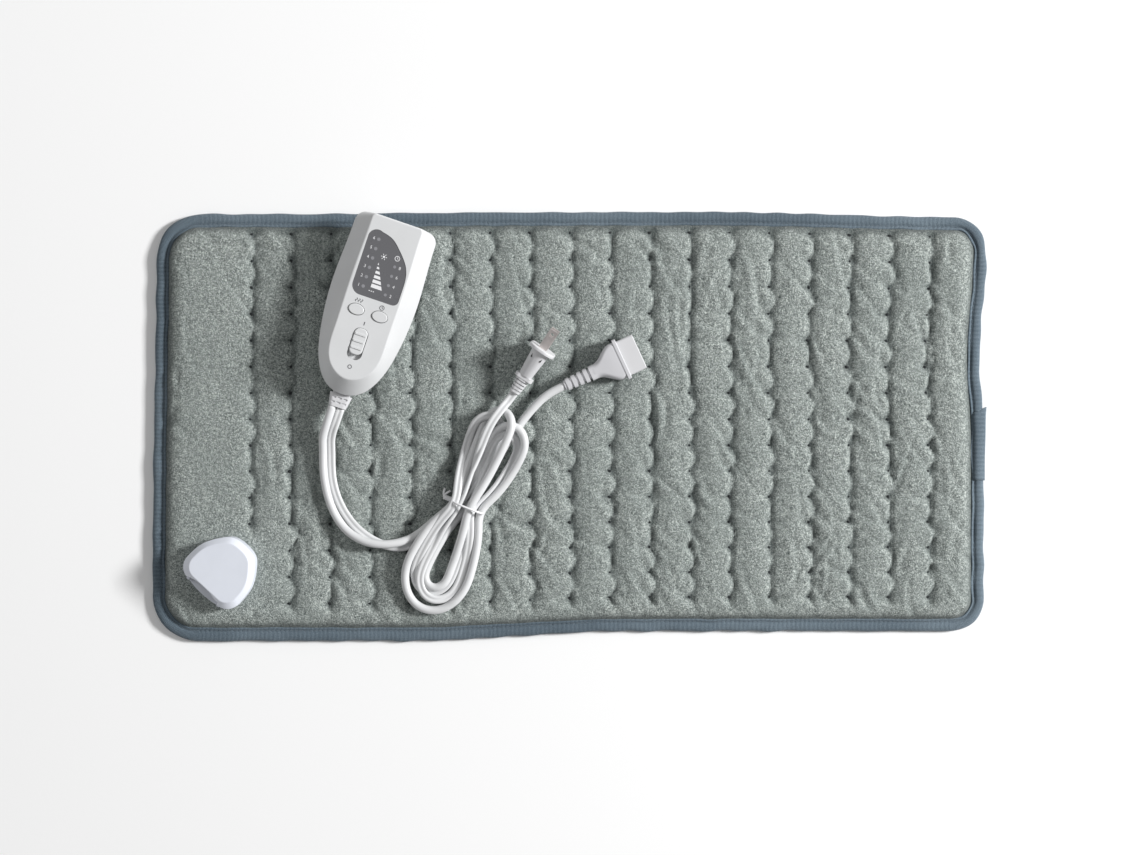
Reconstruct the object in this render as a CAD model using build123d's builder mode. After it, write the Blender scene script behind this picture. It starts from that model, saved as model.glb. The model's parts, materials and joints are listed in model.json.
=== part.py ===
from build123d import *
import os
from math import cos, radians, sin, tan

# Electric heating pad, 24 by 12 inch size, with its hand controller, cords, mains plug and pad connector
# lying on top of it. Millimetres. The origin is the centre of the pad's underside, +X runs along the pad's
# length, +Z is up. The controller is drawn in the frame of its own plane: x across, y towards the display
# end, z out of its face. The socket, plug, connector and hank have planes of their own too.

# ---- pad: driving dimensions
PAD_LENGTH = 608
PAD_WIDTH = 308
CORNER_LEFT = 33
CORNER_RIGHT = 25
FABRIC = 0.8
BINDING_WIDTH = 10
BINDING_TOP = 5.2
COVER_TOP = 1.6
RIM_TOP = 4.4
CARRIER_BOTTOM = 4.6
CARRIER_TOP = 5.2
PAD_TOP = 12.2
WIRE_RADIUS = 0.9
WIRE_PITCH = 19
WIRE_RUNS = 14
WIRE_LEFT = -232
WIRE_RIGHT = 262
CLEARANCE = 0.3
EDGE_SOFTENING = 1.4
REST_HEIGHT = PAD_TOP + CLEARANCE

# ---- socket on the pad: driving dimensions
SOCKET_PLACE = (-254.6, -107)
SOCKET_TURN = -43
SOCKET_HEIGHT = 14
SOCKET_PARTING = 6
SOCKET_WALL = 2
SOCKET_BEVEL = 4
SOCKET_MOUTH = -15.5
CAVITY_WIDTH = 27.4
CAVITY_BACK = -4
PIN_RADIUS = 0.8
PIN_PITCH = 6
PIN_LENGTH = 6

# ---- controller: driving dimensions
HANDSET_PLACE = (-165.5, 24.5)
HANDSET_TILT = 18.5
HANDSET_ROLL = 6
HANDSET_LENGTH = 130
HANDSET_HEIGHT = 25
HANDSET_WALL = 2
HANDSET_PARTING = 11
BEVEL_START = 14
REAR_BEVEL = 4
BOARD_BOTTOM = 8
BOARD_TOP = 9.6
BUTTON_SIZE = (11.4, 7.9)
BUTTON_X = 8.7
BUTTON_Y = 60.9
BUTTON_RISE = 0.9
BUTTON_TRAVEL = 0.8
SLOT_SIZE = (10.8, 23.3)
SLOT_Y = 37.8
KNOB_SIZE = (9.8, 19.4)
SLIDER_TRAVEL = 3.5
LED_PITCH = 7
BOOT_LENGTH = 10
EXIT_HEIGHT = 7

# ---- cords, plug and connector: driving dimensions
PAD_CORD_RADIUS = 2.75
MAINS_CORD_RADIUS = 2.1
LIMP_BEND = 3
HANK_PLACE = (-74.9, -57.4)
HANK_TURN = -22
HANK_HEIGHT = 15
TIE_WIDTH = 3
PLUG_PLACE = (-20.7, 54.7, 25.8)
PLUG_HEADING = 56.2
PLUG_PITCH = 9
BLADE_SIZE = (6.4, 1.5, 15.8)
BLADE_SPACING = 12.7
CONNECTOR_PLACE = (50, 55.2, 18.6)
CONNECTOR_HEADING = 24.8
BLOCK_SIZE = (26.5, 9.2, 12.8)
CONTACT_RADIUS = 1.3


def pointing(place, heading, pitch):
    """Plane whose z axis points along a compass heading, raised by a pitch, with its x axis level."""
    forward = Vector(cos(radians(heading)), sin(radians(heading)), 0)
    right = Vector(sin(radians(heading)), -cos(radians(heading)), 0)
    aim = forward * cos(radians(pitch)) + Vector(0, 0, sin(radians(pitch)))
    return Plane(origin=place, x_dir=right, z_dir=aim)


socket = Plane(Location((*SOCKET_PLACE, PAD_TOP)) * Rotation(0, 0, SOCKET_TURN))
roll_lift = 28 * sin(radians(HANDSET_ROLL))
handset = Plane(
    Location((*HANDSET_PLACE, REST_HEIGHT + roll_lift))
    * Rotation(0, 0, -HANDSET_TILT)
    * Rotation(0, HANDSET_ROLL, 0)
)
hank = Plane(Location((*HANK_PLACE, REST_HEIGHT)) * Rotation(0, 0, HANK_TURN))
plug = pointing(PLUG_PLACE, PLUG_HEADING, PLUG_PITCH)
connector = pointing(CONNECTOR_PLACE, CONNECTOR_HEADING, 0)


# ---- shared shapes
def pad_outline(inset):
    """Pad's outline moved inwards, with rounder corners at the socket end."""
    with BuildSketch(mode=Mode.PRIVATE) as outline:
        Rectangle(PAD_LENGTH - 2 * inset, PAD_WIDTH - 2 * inset)
        fillet(outline.vertices().group_by(Axis.X)[0], CORNER_LEFT - inset)
        fillet(outline.vertices().group_by(Axis.X)[-1], CORNER_RIGHT - inset)
    return outline.sketch


def slab(outline, plane, bottom, top, mode=Mode.ADD):
    """Plate of one outline between two heights over a plane."""
    with BuildSketch(plane.offset(bottom)) as profile:
        add(outline)
    extrude(profile.sketch, amount=top - bottom, mode=mode)


def tower(lower, upper, plane, bottom, top, mode=Mode.ADD):
    """Loft from a lower outline to an upper one."""
    with BuildSketch(plane.offset(bottom)) as floor:
        add(lower)
    with BuildSketch(plane.offset(top)) as ceiling:
        add(upper)
    loft([floor.sketch, ceiling.sketch], mode=mode)


def mirrored_outline(corner, radius, side_points, finish):
    """Outline symmetric about x = 0: a straight end, its round corners, and long sides to the far end."""
    onward = 1 if finish[1] > corner[1] else -1
    straight_end = (corner[0] - radius, corner[1])
    side_start = (corner[0], corner[1] + onward * radius)
    arc_middle = (corner[0] - 0.29 * radius, corner[1] + onward * 0.29 * radius)
    with BuildSketch(mode=Mode.PRIVATE) as outline:
        with BuildLine():
            Line((0, corner[1]), straight_end)
            ThreePointArc(straight_end, arc_middle, side_start)
            Spline(side_start, *side_points, finish, tangents=[(0, onward), (-1, 0)])
            mirror(about=Plane.YZ)
        make_face()
    return outline.sketch


def handset_outline(wall):
    """Controller's widest outline, moved inwards by a wall."""
    top = HANDSET_LENGTH - wall
    side = [(31.8 - wall, 76), (28.9 - wall, 41), (20.5 - 0.8 * wall, 13.5 + 0.6 * wall)]
    return mirrored_outline((30.2 - wall, top), 8.5 - 0.5 * wall, side, (0, wall))


def face_outline(wall):
    """Outline of the controller's flat face, moved inwards by a wall."""
    top = HANDSET_LENGTH - wall
    side = [(19.4 - wall, 80), (19.3 - wall, 46), (15.3 - 0.8 * wall, 20.5 + 0.6 * wall)]
    return mirrored_outline((18.4 - wall, top), 3, side, (0, 11.5 + wall))


def socket_outline(inset):
    """Round-topped shield with its straight mouth edge at the bottom, moved inwards."""
    side = [(22.9 - inset, 11.5), (15.2 - 0.7 * inset, 23.6 - 0.7 * inset)]
    corner = (25.2 - inset, SOCKET_MOUTH + inset)
    return mirrored_outline(corner, 11 - 0.4 * inset, side, (0, 29.8 - inset))


def rounded_block(size, radius, plane, bottom, top, mode=Mode.ADD):
    """Prism of a rounded rectangle between two heights over a plane."""
    with BuildSketch(plane.offset(bottom)) as profile:
        RectangleRounded(*size, radius)
    extrude(profile.sketch, amount=top - bottom, mode=mode)


def plain_block(centre, size, plane, bottom, top, mode=Mode.ADD):
    """Rectangular block standing on a plane."""
    with BuildSketch(plane.offset(bottom)) as profile:
        with Locations(centre):
            Rectangle(*size)
    extrude(profile.sketch, amount=top - bottom, mode=mode)


def posts(centres, radius, plane, bottom, top, mode=Mode.ADD):
    """Round posts, or holes, standing on a plane."""
    with BuildSketch(plane.offset(bottom)) as profile:
        with Locations(*centres):
            Circle(radius)
    extrude(profile.sketch, amount=top - bottom, mode=mode)


def cord_tube(points, radius, name):
    """Tube along straight runs joined by the largest arcs that they allow."""
    spots = [Vector(point) for point in points]
    runs = [after - before for before, after in zip(spots, spots[1:])]
    radii = [
        0.45 * min(one.length, two.length) / tan(radians(one.get_angle(two) / 2))
        for one, two in zip(runs, runs[1:])
    ]
    with BuildLine(mode=Mode.PRIVATE) as path:
        FilletPolyline(*spots, radius=radii)
    route = path.wire()
    with BuildSketch(Plane(origin=route @ 0, z_dir=route % 0), mode=Mode.PRIVATE) as section:
        Circle(radius)
    tube = sweep(section.sketch, path=route, mode=Mode.PRIVATE)
    print(f"{name}: radii {[round(value) for value in radii]}, least allowed {LIMP_BEND * 2 * radius:.0f}")
    print(f"{name}: length {route.length:.0f}, volume {tube.volume / section.sketch.area:.0f} x section")
    return tube


def finish(builder, name):
    """Label a finished piece and write its file."""
    builder.part.label = name
    export_step(builder.part, f"parts/{name}.step")


os.makedirs("parts", exist_ok=True)

# ---- pad
thermostat_places = [(-120, 4 * WIRE_PITCH), (120, -4 * WIRE_PITCH)]
sensor_place = (0, 0)
plate_places = [(0, 19), (-17, -3), (17, -3)]

with BuildPart() as bottom_cover:
    slab(pad_outline(BINDING_WIDTH + 0.4), Plane.XY, 0, COVER_TOP)
    slab(pad_outline(1), Plane.XY, FABRIC, COVER_TOP)
finish(bottom_cover, "bottom_cover")

with BuildPart() as lower_wadding:
    slab(pad_outline(2), Plane.XY, COVER_TOP, RIM_TOP - FABRIC)
    slab(pad_outline(BINDING_WIDTH + 2), Plane.XY, COVER_TOP, CARRIER_BOTTOM)
finish(lower_wadding, "lower_wadding")

with BuildPart() as element_carrier:
    slab(pad_outline(BINDING_WIDTH + 4), Plane.XY, CARRIER_BOTTOM, CARRIER_TOP)
finish(element_carrier, "element_carrier")


def element_route():
    """Serpentine of the heating wire, back down the socket end to the socket."""
    level = CARRIER_TOP + WIRE_RADIUS
    low = -WIRE_PITCH * (WIRE_RUNS - 1) / 2
    route = []
    for run in range(WIRE_RUNS):
        y = low + run * WIRE_PITCH
        ends = [WIRE_LEFT, WIRE_RIGHT] if run % 2 == 0 else [WIRE_RIGHT, WIRE_LEFT]
        route += [(end, y, level) for end in ends]
    back = WIRE_LEFT - WIRE_PITCH
    route[-1] = (back, route[-1][1], level)
    route.append((back, SOCKET_PLACE[1] + 12, level))
    return route


with BuildPart() as heating_wire:
    with BuildLine() as element_path:
        FilletPolyline(*element_route(), radius=0.47 * WIRE_PITCH)
    element = element_path.wire()
    with BuildSketch(Plane(origin=element @ 0, z_dir=element % 0)):
        Circle(WIRE_RADIUS)
    sweep(path=element)
finish(heating_wire, "heating_wire")
print(f"heating_wire: length {element.length:.0f}")

with BuildPart() as thermostats:
    for place in thermostat_places:
        plain_block(place, (20, 7.5), Plane.XY, CARRIER_TOP, CARRIER_TOP + 3.2)
finish(thermostats, "thermostats")

with BuildPart() as temperature_sensor:
    posts([sensor_place], 2.4, Plane.XY, CARRIER_TOP, CARRIER_TOP + 2.4)
finish(temperature_sensor, "temperature_sensor")

wadding_bottom = CARRIER_TOP + 2 * WIRE_RADIUS + 0.2
with BuildPart() as upper_wadding:
    slab(pad_outline(BINDING_WIDTH + 2), Plane.XY, wadding_bottom, PAD_TOP - FABRIC)
    fillet(upper_wadding.faces().sort_by(Axis.Z)[-1].edges(), 3)
    for place in thermostat_places:
        plain_block(place, (21, 8.5), Plane.XY, wadding_bottom, CARRIER_TOP + 3.6, Mode.SUBTRACT)
    posts([sensor_place], 3, Plane.XY, wadding_bottom, CARRIER_TOP + 3, Mode.SUBTRACT)
    slab(socket_outline(3), socket, -PAD_TOP + wadding_bottom, -FABRIC, Mode.SUBTRACT)
finish(upper_wadding, "upper_wadding")

with BuildPart() as cover_hollow:
    slab(pad_outline(BINDING_WIDTH + 0.4 + FABRIC), Plane.XY, RIM_TOP - FABRIC, PAD_TOP - FABRIC)
    fillet(cover_hollow.faces().sort_by(Axis.Z)[-1].edges(), 4 - FABRIC)

with BuildPart() as top_cover:
    slab(pad_outline(BINDING_WIDTH + 0.4), Plane.XY, RIM_TOP - FABRIC, PAD_TOP)
    fillet(top_cover.faces().sort_by(Axis.Z)[-1].edges(), 4)
    slab(pad_outline(1), Plane.XY, RIM_TOP - FABRIC, RIM_TOP)
    add(cover_hollow.part, mode=Mode.SUBTRACT)
    posts(plate_places, 1.8, socket, -FABRIC, 0, Mode.SUBTRACT)
    plain_block((0, 4), (22, 5), socket, -FABRIC, 0, Mode.SUBTRACT)
finish(top_cover, "top_cover")

with BuildPart() as edge_binding:
    slab(pad_outline(0), Plane.XY, 0, BINDING_TOP)
    slab(pad_outline(0.9), Plane.XY, 0.7, RIM_TOP + 0.1, Mode.SUBTRACT)
    slab(pad_outline(BINDING_WIDTH), Plane.XY, 0, BINDING_TOP, Mode.SUBTRACT)
finish(edge_binding, "edge_binding")

tail_edge = PAD_LENGTH / 2
with BuildPart() as binding_tail:
    plain_block((tail_edge - 4, 8), (11.6, 14), Plane.XY, BINDING_TOP, BINDING_TOP + 0.9)
    plain_block((tail_edge + 0.9, 8), (1.8, 14), Plane.XY, 0, BINDING_TOP + 0.9)
    fillet(binding_tail.edges().filter_by(Axis.Z).sort_by(Axis.Y)[-1], 1)
finish(binding_tail, "binding_tail")

# ---- socket on the pad
plate_bottom = -3.4
with BuildPart() as socket_backing_plate:
    slab(socket_outline(4), socket, plate_bottom, -FABRIC)
    posts(plate_places, 1.6, socket, plate_bottom, -FABRIC, Mode.SUBTRACT)
    plain_block((0, 4), (22, 5), socket, plate_bottom, -FABRIC, Mode.SUBTRACT)
finish(socket_backing_plate, "socket_backing_plate")

with BuildPart() as socket_base_shell:
    slab(socket_outline(0), socket, 0, SOCKET_PARTING)
    with BuildSketch(socket):
        with BuildLine():
            Line((-16, SOCKET_MOUTH + 2), (-16, SOCKET_MOUTH - 1.2))
            ThreePointArc((-16, SOCKET_MOUTH - 1.2), (0, SOCKET_MOUTH - 3.2), (16, SOCKET_MOUTH - 1.2))
            Polyline((16, SOCKET_MOUTH - 1.2), (16, SOCKET_MOUTH + 2), (-16, SOCKET_MOUTH + 2))
        make_face()
    extrude(amount=SOCKET_PARTING)
    slab(socket_outline(SOCKET_WALL), socket, SOCKET_WALL, SOCKET_PARTING, Mode.SUBTRACT)
    plain_block((0, SOCKET_MOUTH + 4), (CAVITY_WIDTH, 18), socket, SOCKET_WALL, SOCKET_PARTING, Mode.SUBTRACT)
    for x, y in plate_places:
        posts([(x, y)], 3, socket, SOCKET_WALL, SOCKET_PARTING)
    posts(plate_places, 1.1, socket, 0, SOCKET_PARTING - 1, Mode.SUBTRACT)
    plain_block((0, 4), (22, 5), socket, 0, SOCKET_WALL, Mode.SUBTRACT)
finish(socket_base_shell, "socket_base_shell")

with BuildPart() as socket_top_shell:
    slab(socket_outline(0), socket, SOCKET_PARTING, SOCKET_HEIGHT - SOCKET_BEVEL)
    tower(
        socket_outline(0),
        socket_outline(SOCKET_BEVEL),
        socket,
        SOCKET_HEIGHT - SOCKET_BEVEL,
        SOCKET_HEIGHT,
    )
    fillet(socket_top_shell.faces().sort_by(Axis.Z)[-1].edges(), EDGE_SOFTENING)
    slab(
        socket_outline(SOCKET_WALL),
        socket,
        SOCKET_PARTING,
        SOCKET_HEIGHT - SOCKET_BEVEL,
        Mode.SUBTRACT,
    )
    roof = SOCKET_HEIGHT - SOCKET_WALL
    tower(
        socket_outline(SOCKET_WALL),
        socket_outline(SOCKET_WALL + 2),
        socket,
        SOCKET_HEIGHT - SOCKET_BEVEL,
        roof,
        Mode.SUBTRACT,
    )
    plain_block((0, SOCKET_MOUTH + 4), (CAVITY_WIDTH, 18), socket, SOCKET_PARTING, roof, Mode.SUBTRACT)
    with BuildSketch(socket.offset(SOCKET_PARTING)):
        with BuildLine():
            ThreePointArc((-16, SOCKET_MOUTH + 0.5), (-1, SOCKET_MOUTH + 4), (14, SOCKET_MOUTH + 0.5))
            Polyline(
                (14, SOCKET_MOUTH + 0.5),
                (14, SOCKET_MOUTH - 1),
                (-16, SOCKET_MOUTH - 1),
                (-16, SOCKET_MOUTH + 0.5),
            )
        make_face()
    extrude(amount=SOCKET_HEIGHT - SOCKET_PARTING, mode=Mode.SUBTRACT)
finish(socket_top_shell, "socket_top_shell")

pin_level = (SOCKET_WALL + roof) / 2
pin_places = [((index - 1.5) * PIN_PITCH, pin_level) for index in range(4)]
pin_root = Plane(
    origin=socket.from_local_coords((0, CAVITY_BACK, 0)), x_dir=socket.x_dir, z_dir=-socket.y_dir
)
with BuildPart() as pin_carrier:
    plain_block((0, pin_level), (24, 8), pin_root, -2.4, 0)
    posts(pin_places, PIN_RADIUS, pin_root, -2.4, 0, Mode.SUBTRACT)
finish(pin_carrier, "pin_carrier")

with BuildPart() as socket_pins:
    posts(pin_places, PIN_RADIUS, pin_root, -4, PIN_LENGTH)
finish(socket_pins, "socket_pins")

with BuildPart() as socket_screws:
    posts(plate_places, 1, socket, plate_bottom, SOCKET_PARTING - 1.2)
    posts(plate_places, 2.2, socket, plate_bottom - 1, plate_bottom)
finish(socket_screws, "socket_screws")

with BuildPart() as socket_leads:
    posts([(x, 4) for x, level in pin_places], 0.7, socket, -5, pin_level - 1.2)
finish(socket_leads, "socket_leads")

# ---- controller
button_places = [(-BUTTON_X, BUTTON_Y), (BUTTON_X, BUTTON_Y)]
screw_places = [(-19, 112), (19, 112), (0, 19)]
heat_led_places = [(-9.2, 78 + LED_PITCH * row) for row in range(6)]
timer_led_places = [(7.6, 77 + LED_PITCH * row) for row in range(4)]


def display_outline():
    """Display window: straight left, bottom and right edges under a sweeping curve."""
    with BuildSketch(mode=Mode.PRIVATE) as outline:
        with BuildLine():
            Line((-17.2, 112.5), (-17.2, 78.4))
            ThreePointArc((-17.2, 78.4), (-15.1, 73.5), (-10.2, 71.4))
            Line((-10.2, 71.4), (14, 71.4))
            ThreePointArc((14, 71.4), (16.8, 72.6), (18, 75.4))
            Line((18, 75.4), (18, 87))
            Spline((18, 87), (14.9, 100.9), (6.5, 111), (-8, 118.8), tangents=[(0, 1), (-1, 0.15)])
            ThreePointArc((-8, 118.8), (-14.7, 118.3), (-17.2, 112.5))
        make_face()
    return outline.sketch


def ellipse_prism(centre, grow, bottom, top, mode=Mode.ADD):
    """Oval block across the controller, a little larger or smaller than a button."""
    with BuildSketch(handset.offset(bottom)) as profile:
        with Locations(centre):
            Ellipse(BUTTON_SIZE[0] / 2 + grow, BUTTON_SIZE[1] / 2 + grow)
    extrude(profile.sketch, amount=top - bottom, mode=mode)


def slider_prism(size, centre_y, bottom, top, mode=Mode.ADD):
    """Block with rounded ends on the slider's line."""
    with BuildSketch(handset.offset(bottom)) as profile:
        with Locations((0, centre_y)):
            RectangleRounded(*size, size[0] * 0.42)
    extrude(profile.sketch, amount=top - bottom, mode=mode)


face_axis = Axis(handset.origin, handset.z_dir)
face_inside = HANDSET_HEIGHT - HANDSET_WALL
with BuildPart() as front_shell:
    slab(handset_outline(0), handset, HANDSET_PARTING, BEVEL_START)
    tower(handset_outline(0), face_outline(0), handset, BEVEL_START, HANDSET_HEIGHT)
    fillet(front_shell.faces().sort_by(face_axis)[-1].edges(), EDGE_SOFTENING)
    slab(handset_outline(HANDSET_WALL), handset, HANDSET_PARTING, BEVEL_START - 1, Mode.SUBTRACT)
    tower(
        handset_outline(HANDSET_WALL),
        face_outline(HANDSET_WALL),
        handset,
        BEVEL_START - 1,
        face_inside,
        Mode.SUBTRACT,
    )
    posts(screw_places[:2], 3, handset, HANDSET_PARTING, BEVEL_START + 5.6)
    posts(screw_places[2:], 3, handset, HANDSET_PARTING, face_inside)
    posts(screw_places, 1.1, handset, HANDSET_PARTING, BEVEL_START + 1, Mode.SUBTRACT)
    slab(display_outline(), handset, face_inside - 1, HANDSET_HEIGHT, Mode.SUBTRACT)
    for place in button_places:
        ellipse_prism(place, 0.35, face_inside - 1, HANDSET_HEIGHT, Mode.SUBTRACT)
    slider_prism(SLOT_SIZE, SLOT_Y, face_inside - 1, HANDSET_HEIGHT, Mode.SUBTRACT)
finish(front_shell, "front_shell")

with BuildPart() as rear_shell:
    tower(handset_outline(REAR_BEVEL), handset_outline(0), handset, 0, REAR_BEVEL)
    slab(handset_outline(0), handset, REAR_BEVEL, HANDSET_PARTING)
    tower(
        handset_outline(REAR_BEVEL + 1),
        handset_outline(HANDSET_WALL),
        handset,
        HANDSET_WALL,
        REAR_BEVEL + 1,
        Mode.SUBTRACT,
    )
    slab(handset_outline(HANDSET_WALL), handset, REAR_BEVEL + 1, HANDSET_PARTING, Mode.SUBTRACT)
    posts(screw_places, 4, handset, HANDSET_WALL, HANDSET_PARTING)
    posts(screw_places, 1.4, handset, 0, HANDSET_PARTING, Mode.SUBTRACT)
    posts(screw_places, 2.6, handset, 0, 3, Mode.SUBTRACT)
    plain_block((0, 2), (13.4, 12), handset, EXIT_HEIGHT - 3.2, HANDSET_PARTING, Mode.SUBTRACT)
finish(rear_shell, "rear_shell")

with BuildPart() as case_screws:
    posts(screw_places, 1, handset, 2.4, BEVEL_START)
    posts(screw_places, 2.4, handset, 0.6, 2.6)
finish(case_screws, "case_screws")

with BuildPart() as display_window:
    slab(display_outline(), handset, face_inside + 0.2, HANDSET_HEIGHT - 0.3)
finish(display_window, "display_window")

with BuildPart() as light_guide:
    plain_block((-1, 95), (26, 42), handset, BOARD_TOP, face_inside)
    plain_block((-0.8, 94), (11, 34), handset, BOARD_TOP, face_inside - 2, Mode.SUBTRACT)
    posts(heat_led_places + timer_led_places, 1.6, handset, BOARD_TOP, face_inside - 2, Mode.SUBTRACT)
finish(light_guide, "light_guide")

with BuildPart() as circuit_board:
    with BuildSketch(handset.offset(BOARD_BOTTOM)):
        with Locations((0, 73)):
            Rectangle(42, 92)
        with Locations((-19, 112), (19, 112)):
            Rectangle(10, 16, mode=Mode.SUBTRACT)
        with Locations((0, 19)):
            Circle(5, mode=Mode.SUBTRACT)
    extrude(amount=BOARD_TOP - BOARD_BOTTOM)
finish(circuit_board, "circuit_board")

with BuildPart() as indicator_leds:
    posts(heat_led_places + timer_led_places, 1.3, handset, BOARD_TOP, BOARD_TOP + 3)
finish(indicator_leds, "indicator_leds")

switch_top = BOARD_TOP + 4
with BuildPart() as tact_switches:
    for place in button_places:
        plain_block(place, (6.2, 6.2), handset, BOARD_TOP, switch_top)
finish(tact_switches, "tact_switches")

for name, place in zip(["heat_button", "timer_button"], button_places):
    with BuildPart() as button:
        ellipse_prism(place, 0, face_inside - 1.2, HANDSET_HEIGHT + BUTTON_RISE)
        fillet(button.faces().filter_by(handset).sort_by(face_axis)[-1].edges(), 0.7)
        ellipse_prism(place, 1.2, face_inside - 2.4, face_inside - 1.2)
        posts([place], 1.6, handset, switch_top + BUTTON_TRAVEL + 0.3, face_inside - 2.4)
    finish(button, name)

slide_switch_top = BOARD_TOP + 5
with BuildPart() as slide_switch_body:
    plain_block((0, SLOT_Y), (12, 22), handset, BOARD_TOP, slide_switch_top)
    plain_block((0, SLOT_Y), (3.4, 12), handset, slide_switch_top - 3, slide_switch_top, Mode.SUBTRACT)
finish(slide_switch_body, "slide_switch_body")

knob_y = SLOT_Y + SLIDER_TRAVEL / 2
with BuildPart() as power_slider:
    slider_prism(KNOB_SIZE, knob_y, face_inside - 1.2, HANDSET_HEIGHT + 0.8)
    fillet(power_slider.faces().sort_by(face_axis)[-1].edges(), 0.8)
    slider_prism((13.4, 28), knob_y, face_inside - 2.2, face_inside - 1.2)
    plain_block((0, knob_y), (2.6, 4), handset, slide_switch_top - 2.4, face_inside - 2.2)
    for rib in (-5, 0, 5):
        plain_block((0, knob_y + rib), (7.6, 1.2), handset, HANDSET_HEIGHT + 0.8, HANDSET_HEIGHT + 1.4)
finish(power_slider, "power_slider")

with BuildPart() as triac:
    plain_block((-16, 30), (10.2, 4.6), handset, BOARD_TOP, BOARD_TOP + 7)
finish(triac, "triac")

with BuildPart() as film_capacitor:
    rounded_block((13, 6), 1, handset.shift_origin(handset.from_local_coords((17, 66, 0))), 3, BOARD_BOTTOM)
finish(film_capacitor, "film_capacitor")

fuse_plane = Plane(
    origin=handset.from_local_coords((14, 28, BOARD_TOP + 2.8)), x_dir=handset.x_dir, z_dir=handset.y_dir
)
with BuildPart() as fuse:
    posts([(0, 0)], 2.6, fuse_plane, 0, 15)
finish(fuse, "fuse")

boot_root = Plane(
    origin=handset.from_local_coords((0, 2.5, EXIT_HEIGHT)), x_dir=handset.x_dir, z_dir=-handset.y_dir
)
boot_end = BOOT_LENGTH + 2.5
cord_spots = {"pad": (-3.3, 0), "mains": (2.7, 0)}
with BuildPart() as strain_relief_boot:
    rounded_block((13, 6), 2, boot_root, -5, 3)
    with BuildSketch(boot_root.offset(3)):
        RectangleRounded(16.6, 7.6, 3)
    with BuildSketch(boot_root.offset(boot_end)):
        RectangleRounded(13, 6.6, 3)
    loft()
    for row in (5.2, 8.6):
        for x in (-4.2, 0, 4.2):
            for side in (1, -1):
                with BuildSketch(boot_root.offset(row)):
                    with Locations((x, side * 3.4)):
                        Rectangle(3, 1.4)
                extrude(amount=1.2, mode=Mode.SUBTRACT)
finish(strain_relief_boot, "strain_relief_boot")

with BuildPart() as cord_clamp:
    plain_block((0, 11), (17, 4), handset, HANDSET_WALL, EXIT_HEIGHT - 3.2)
    plain_block((-9.5, 11), (3, 4), handset, HANDSET_WALL, EXIT_HEIGHT)
    plain_block((9.5, 11), (3, 4), handset, HANDSET_WALL, EXIT_HEIGHT)
finish(cord_clamp, "cord_clamp")

with BuildPart() as controller_leads:
    lead_plane = Plane(
        origin=handset.from_local_coords((0, 7.6, EXIT_HEIGHT - 1)), x_dir=handset.x_dir, z_dir=handset.y_dir
    )
    posts([(-6.6, 0), (-4.9, 0), (4.9, 0), (6.6, 0)], 0.8, lead_plane, 0, 22)
finish(controller_leads, "controller_leads")

# ---- plug
blade_places = [(0, BLADE_SPACING / 2), (0, -BLADE_SPACING / 2)]
blade_axis = Axis(plug.origin, plug.z_dir)
with BuildPart() as plug_blades:
    for x, y in blade_places:
        plain_block((x, y), BLADE_SIZE[:2], plug, -5, 2.9 + BLADE_SIZE[2])
    hole_plane = Plane(
        origin=plug.from_local_coords((0, 0, 2.9 + BLADE_SIZE[2] - 4)), x_dir=plug.z_dir, z_dir=plug.y_dir
    )
    posts([(0, 0)], 1.6, hole_plane, -BLADE_SPACING, BLADE_SPACING, Mode.SUBTRACT)
    tip_edges = plug_blades.edges().filter_by(Axis(plug.origin, plug.x_dir)).sort_by(blade_axis)[-4:]
    chamfer(tip_edges, 0.5)
finish(plug_blades, "plug_blades")

with BuildPart() as plug_bridge:
    plain_block((0, 0), (8.4, 18), plug, -6, -1)
    for x, y in blade_places:
        plain_block((x, y), BLADE_SIZE[:2], plug, -5, -1, Mode.SUBTRACT)
finish(plug_bridge, "plug_bridge")


def relief_rings(plane, start, sizes, pitch, neck):
    """Strain relief: a tapering neck with a ring at each pitch, ending flush on its last ring."""
    for index, size in enumerate(sizes):
        bottom = start - index * pitch
        rounded_block(size, min(size) * 0.4, plane, bottom - 0.62 * pitch, bottom)
    end = start - len(sizes) * pitch
    rounded_block(neck, min(neck) * 0.4, plane, end, start)
    return end


plug_relief_sizes = [(10 - 0.5 * index, 9 - 0.4 * index) for index in range(5)]
with BuildPart() as plug_overmould:
    rounded_block((20.4, 26), 9, plug, 0, 2.9)
    fillet(plug_overmould.faces().sort_by(blade_axis)[-1].edges(), 1)
    fillet(plug_overmould.faces().sort_by(blade_axis)[0].edges(), 0.8)
    with BuildSketch(plug.offset(0)):
        RectangleRounded(13.3, 22, 6)
    with BuildSketch(plug.offset(-21)):
        RectangleRounded(10, 11, 4.6)
    loft()
    rounded_block((14, 9.6), 3, plug, -23.6, -21)
    plug_end = relief_rings(plug, -23.6, plug_relief_sizes, 2.5, (6.2, 6.2))
    plain_block((0, 0), (8.4, 18), plug, -6, -1, Mode.SUBTRACT)
    for x, y in blade_places:
        plain_block((x, y), BLADE_SIZE[:2], plug, -1, 2.9, Mode.SUBTRACT)
finish(plug_overmould, "plug_overmould")

# ---- connector
contact_places = [((index - 1.5) * PIN_PITCH, 0) for index in range(4)]
connector_axis = Axis(connector.origin, connector.z_dir)
block_back = -BLOCK_SIZE[2]
with BuildPart() as connector_block:
    rounded_block(BLOCK_SIZE[:2], 1.6, connector, block_back, 0)
    fillet(connector_block.faces().sort_by(connector_axis)[-1].edges(), 0.6)
    posts(contact_places, CONTACT_RADIUS, connector, -10, 0, Mode.SUBTRACT)
finish(connector_block, "connector_block")

with BuildPart() as connector_contacts:
    posts(contact_places, CONTACT_RADIUS, connector, -10, -0.6)
    posts(contact_places, PIN_RADIUS + 0.1, connector, -9, -0.6, Mode.SUBTRACT)
finish(connector_contacts, "connector_contacts")

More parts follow.
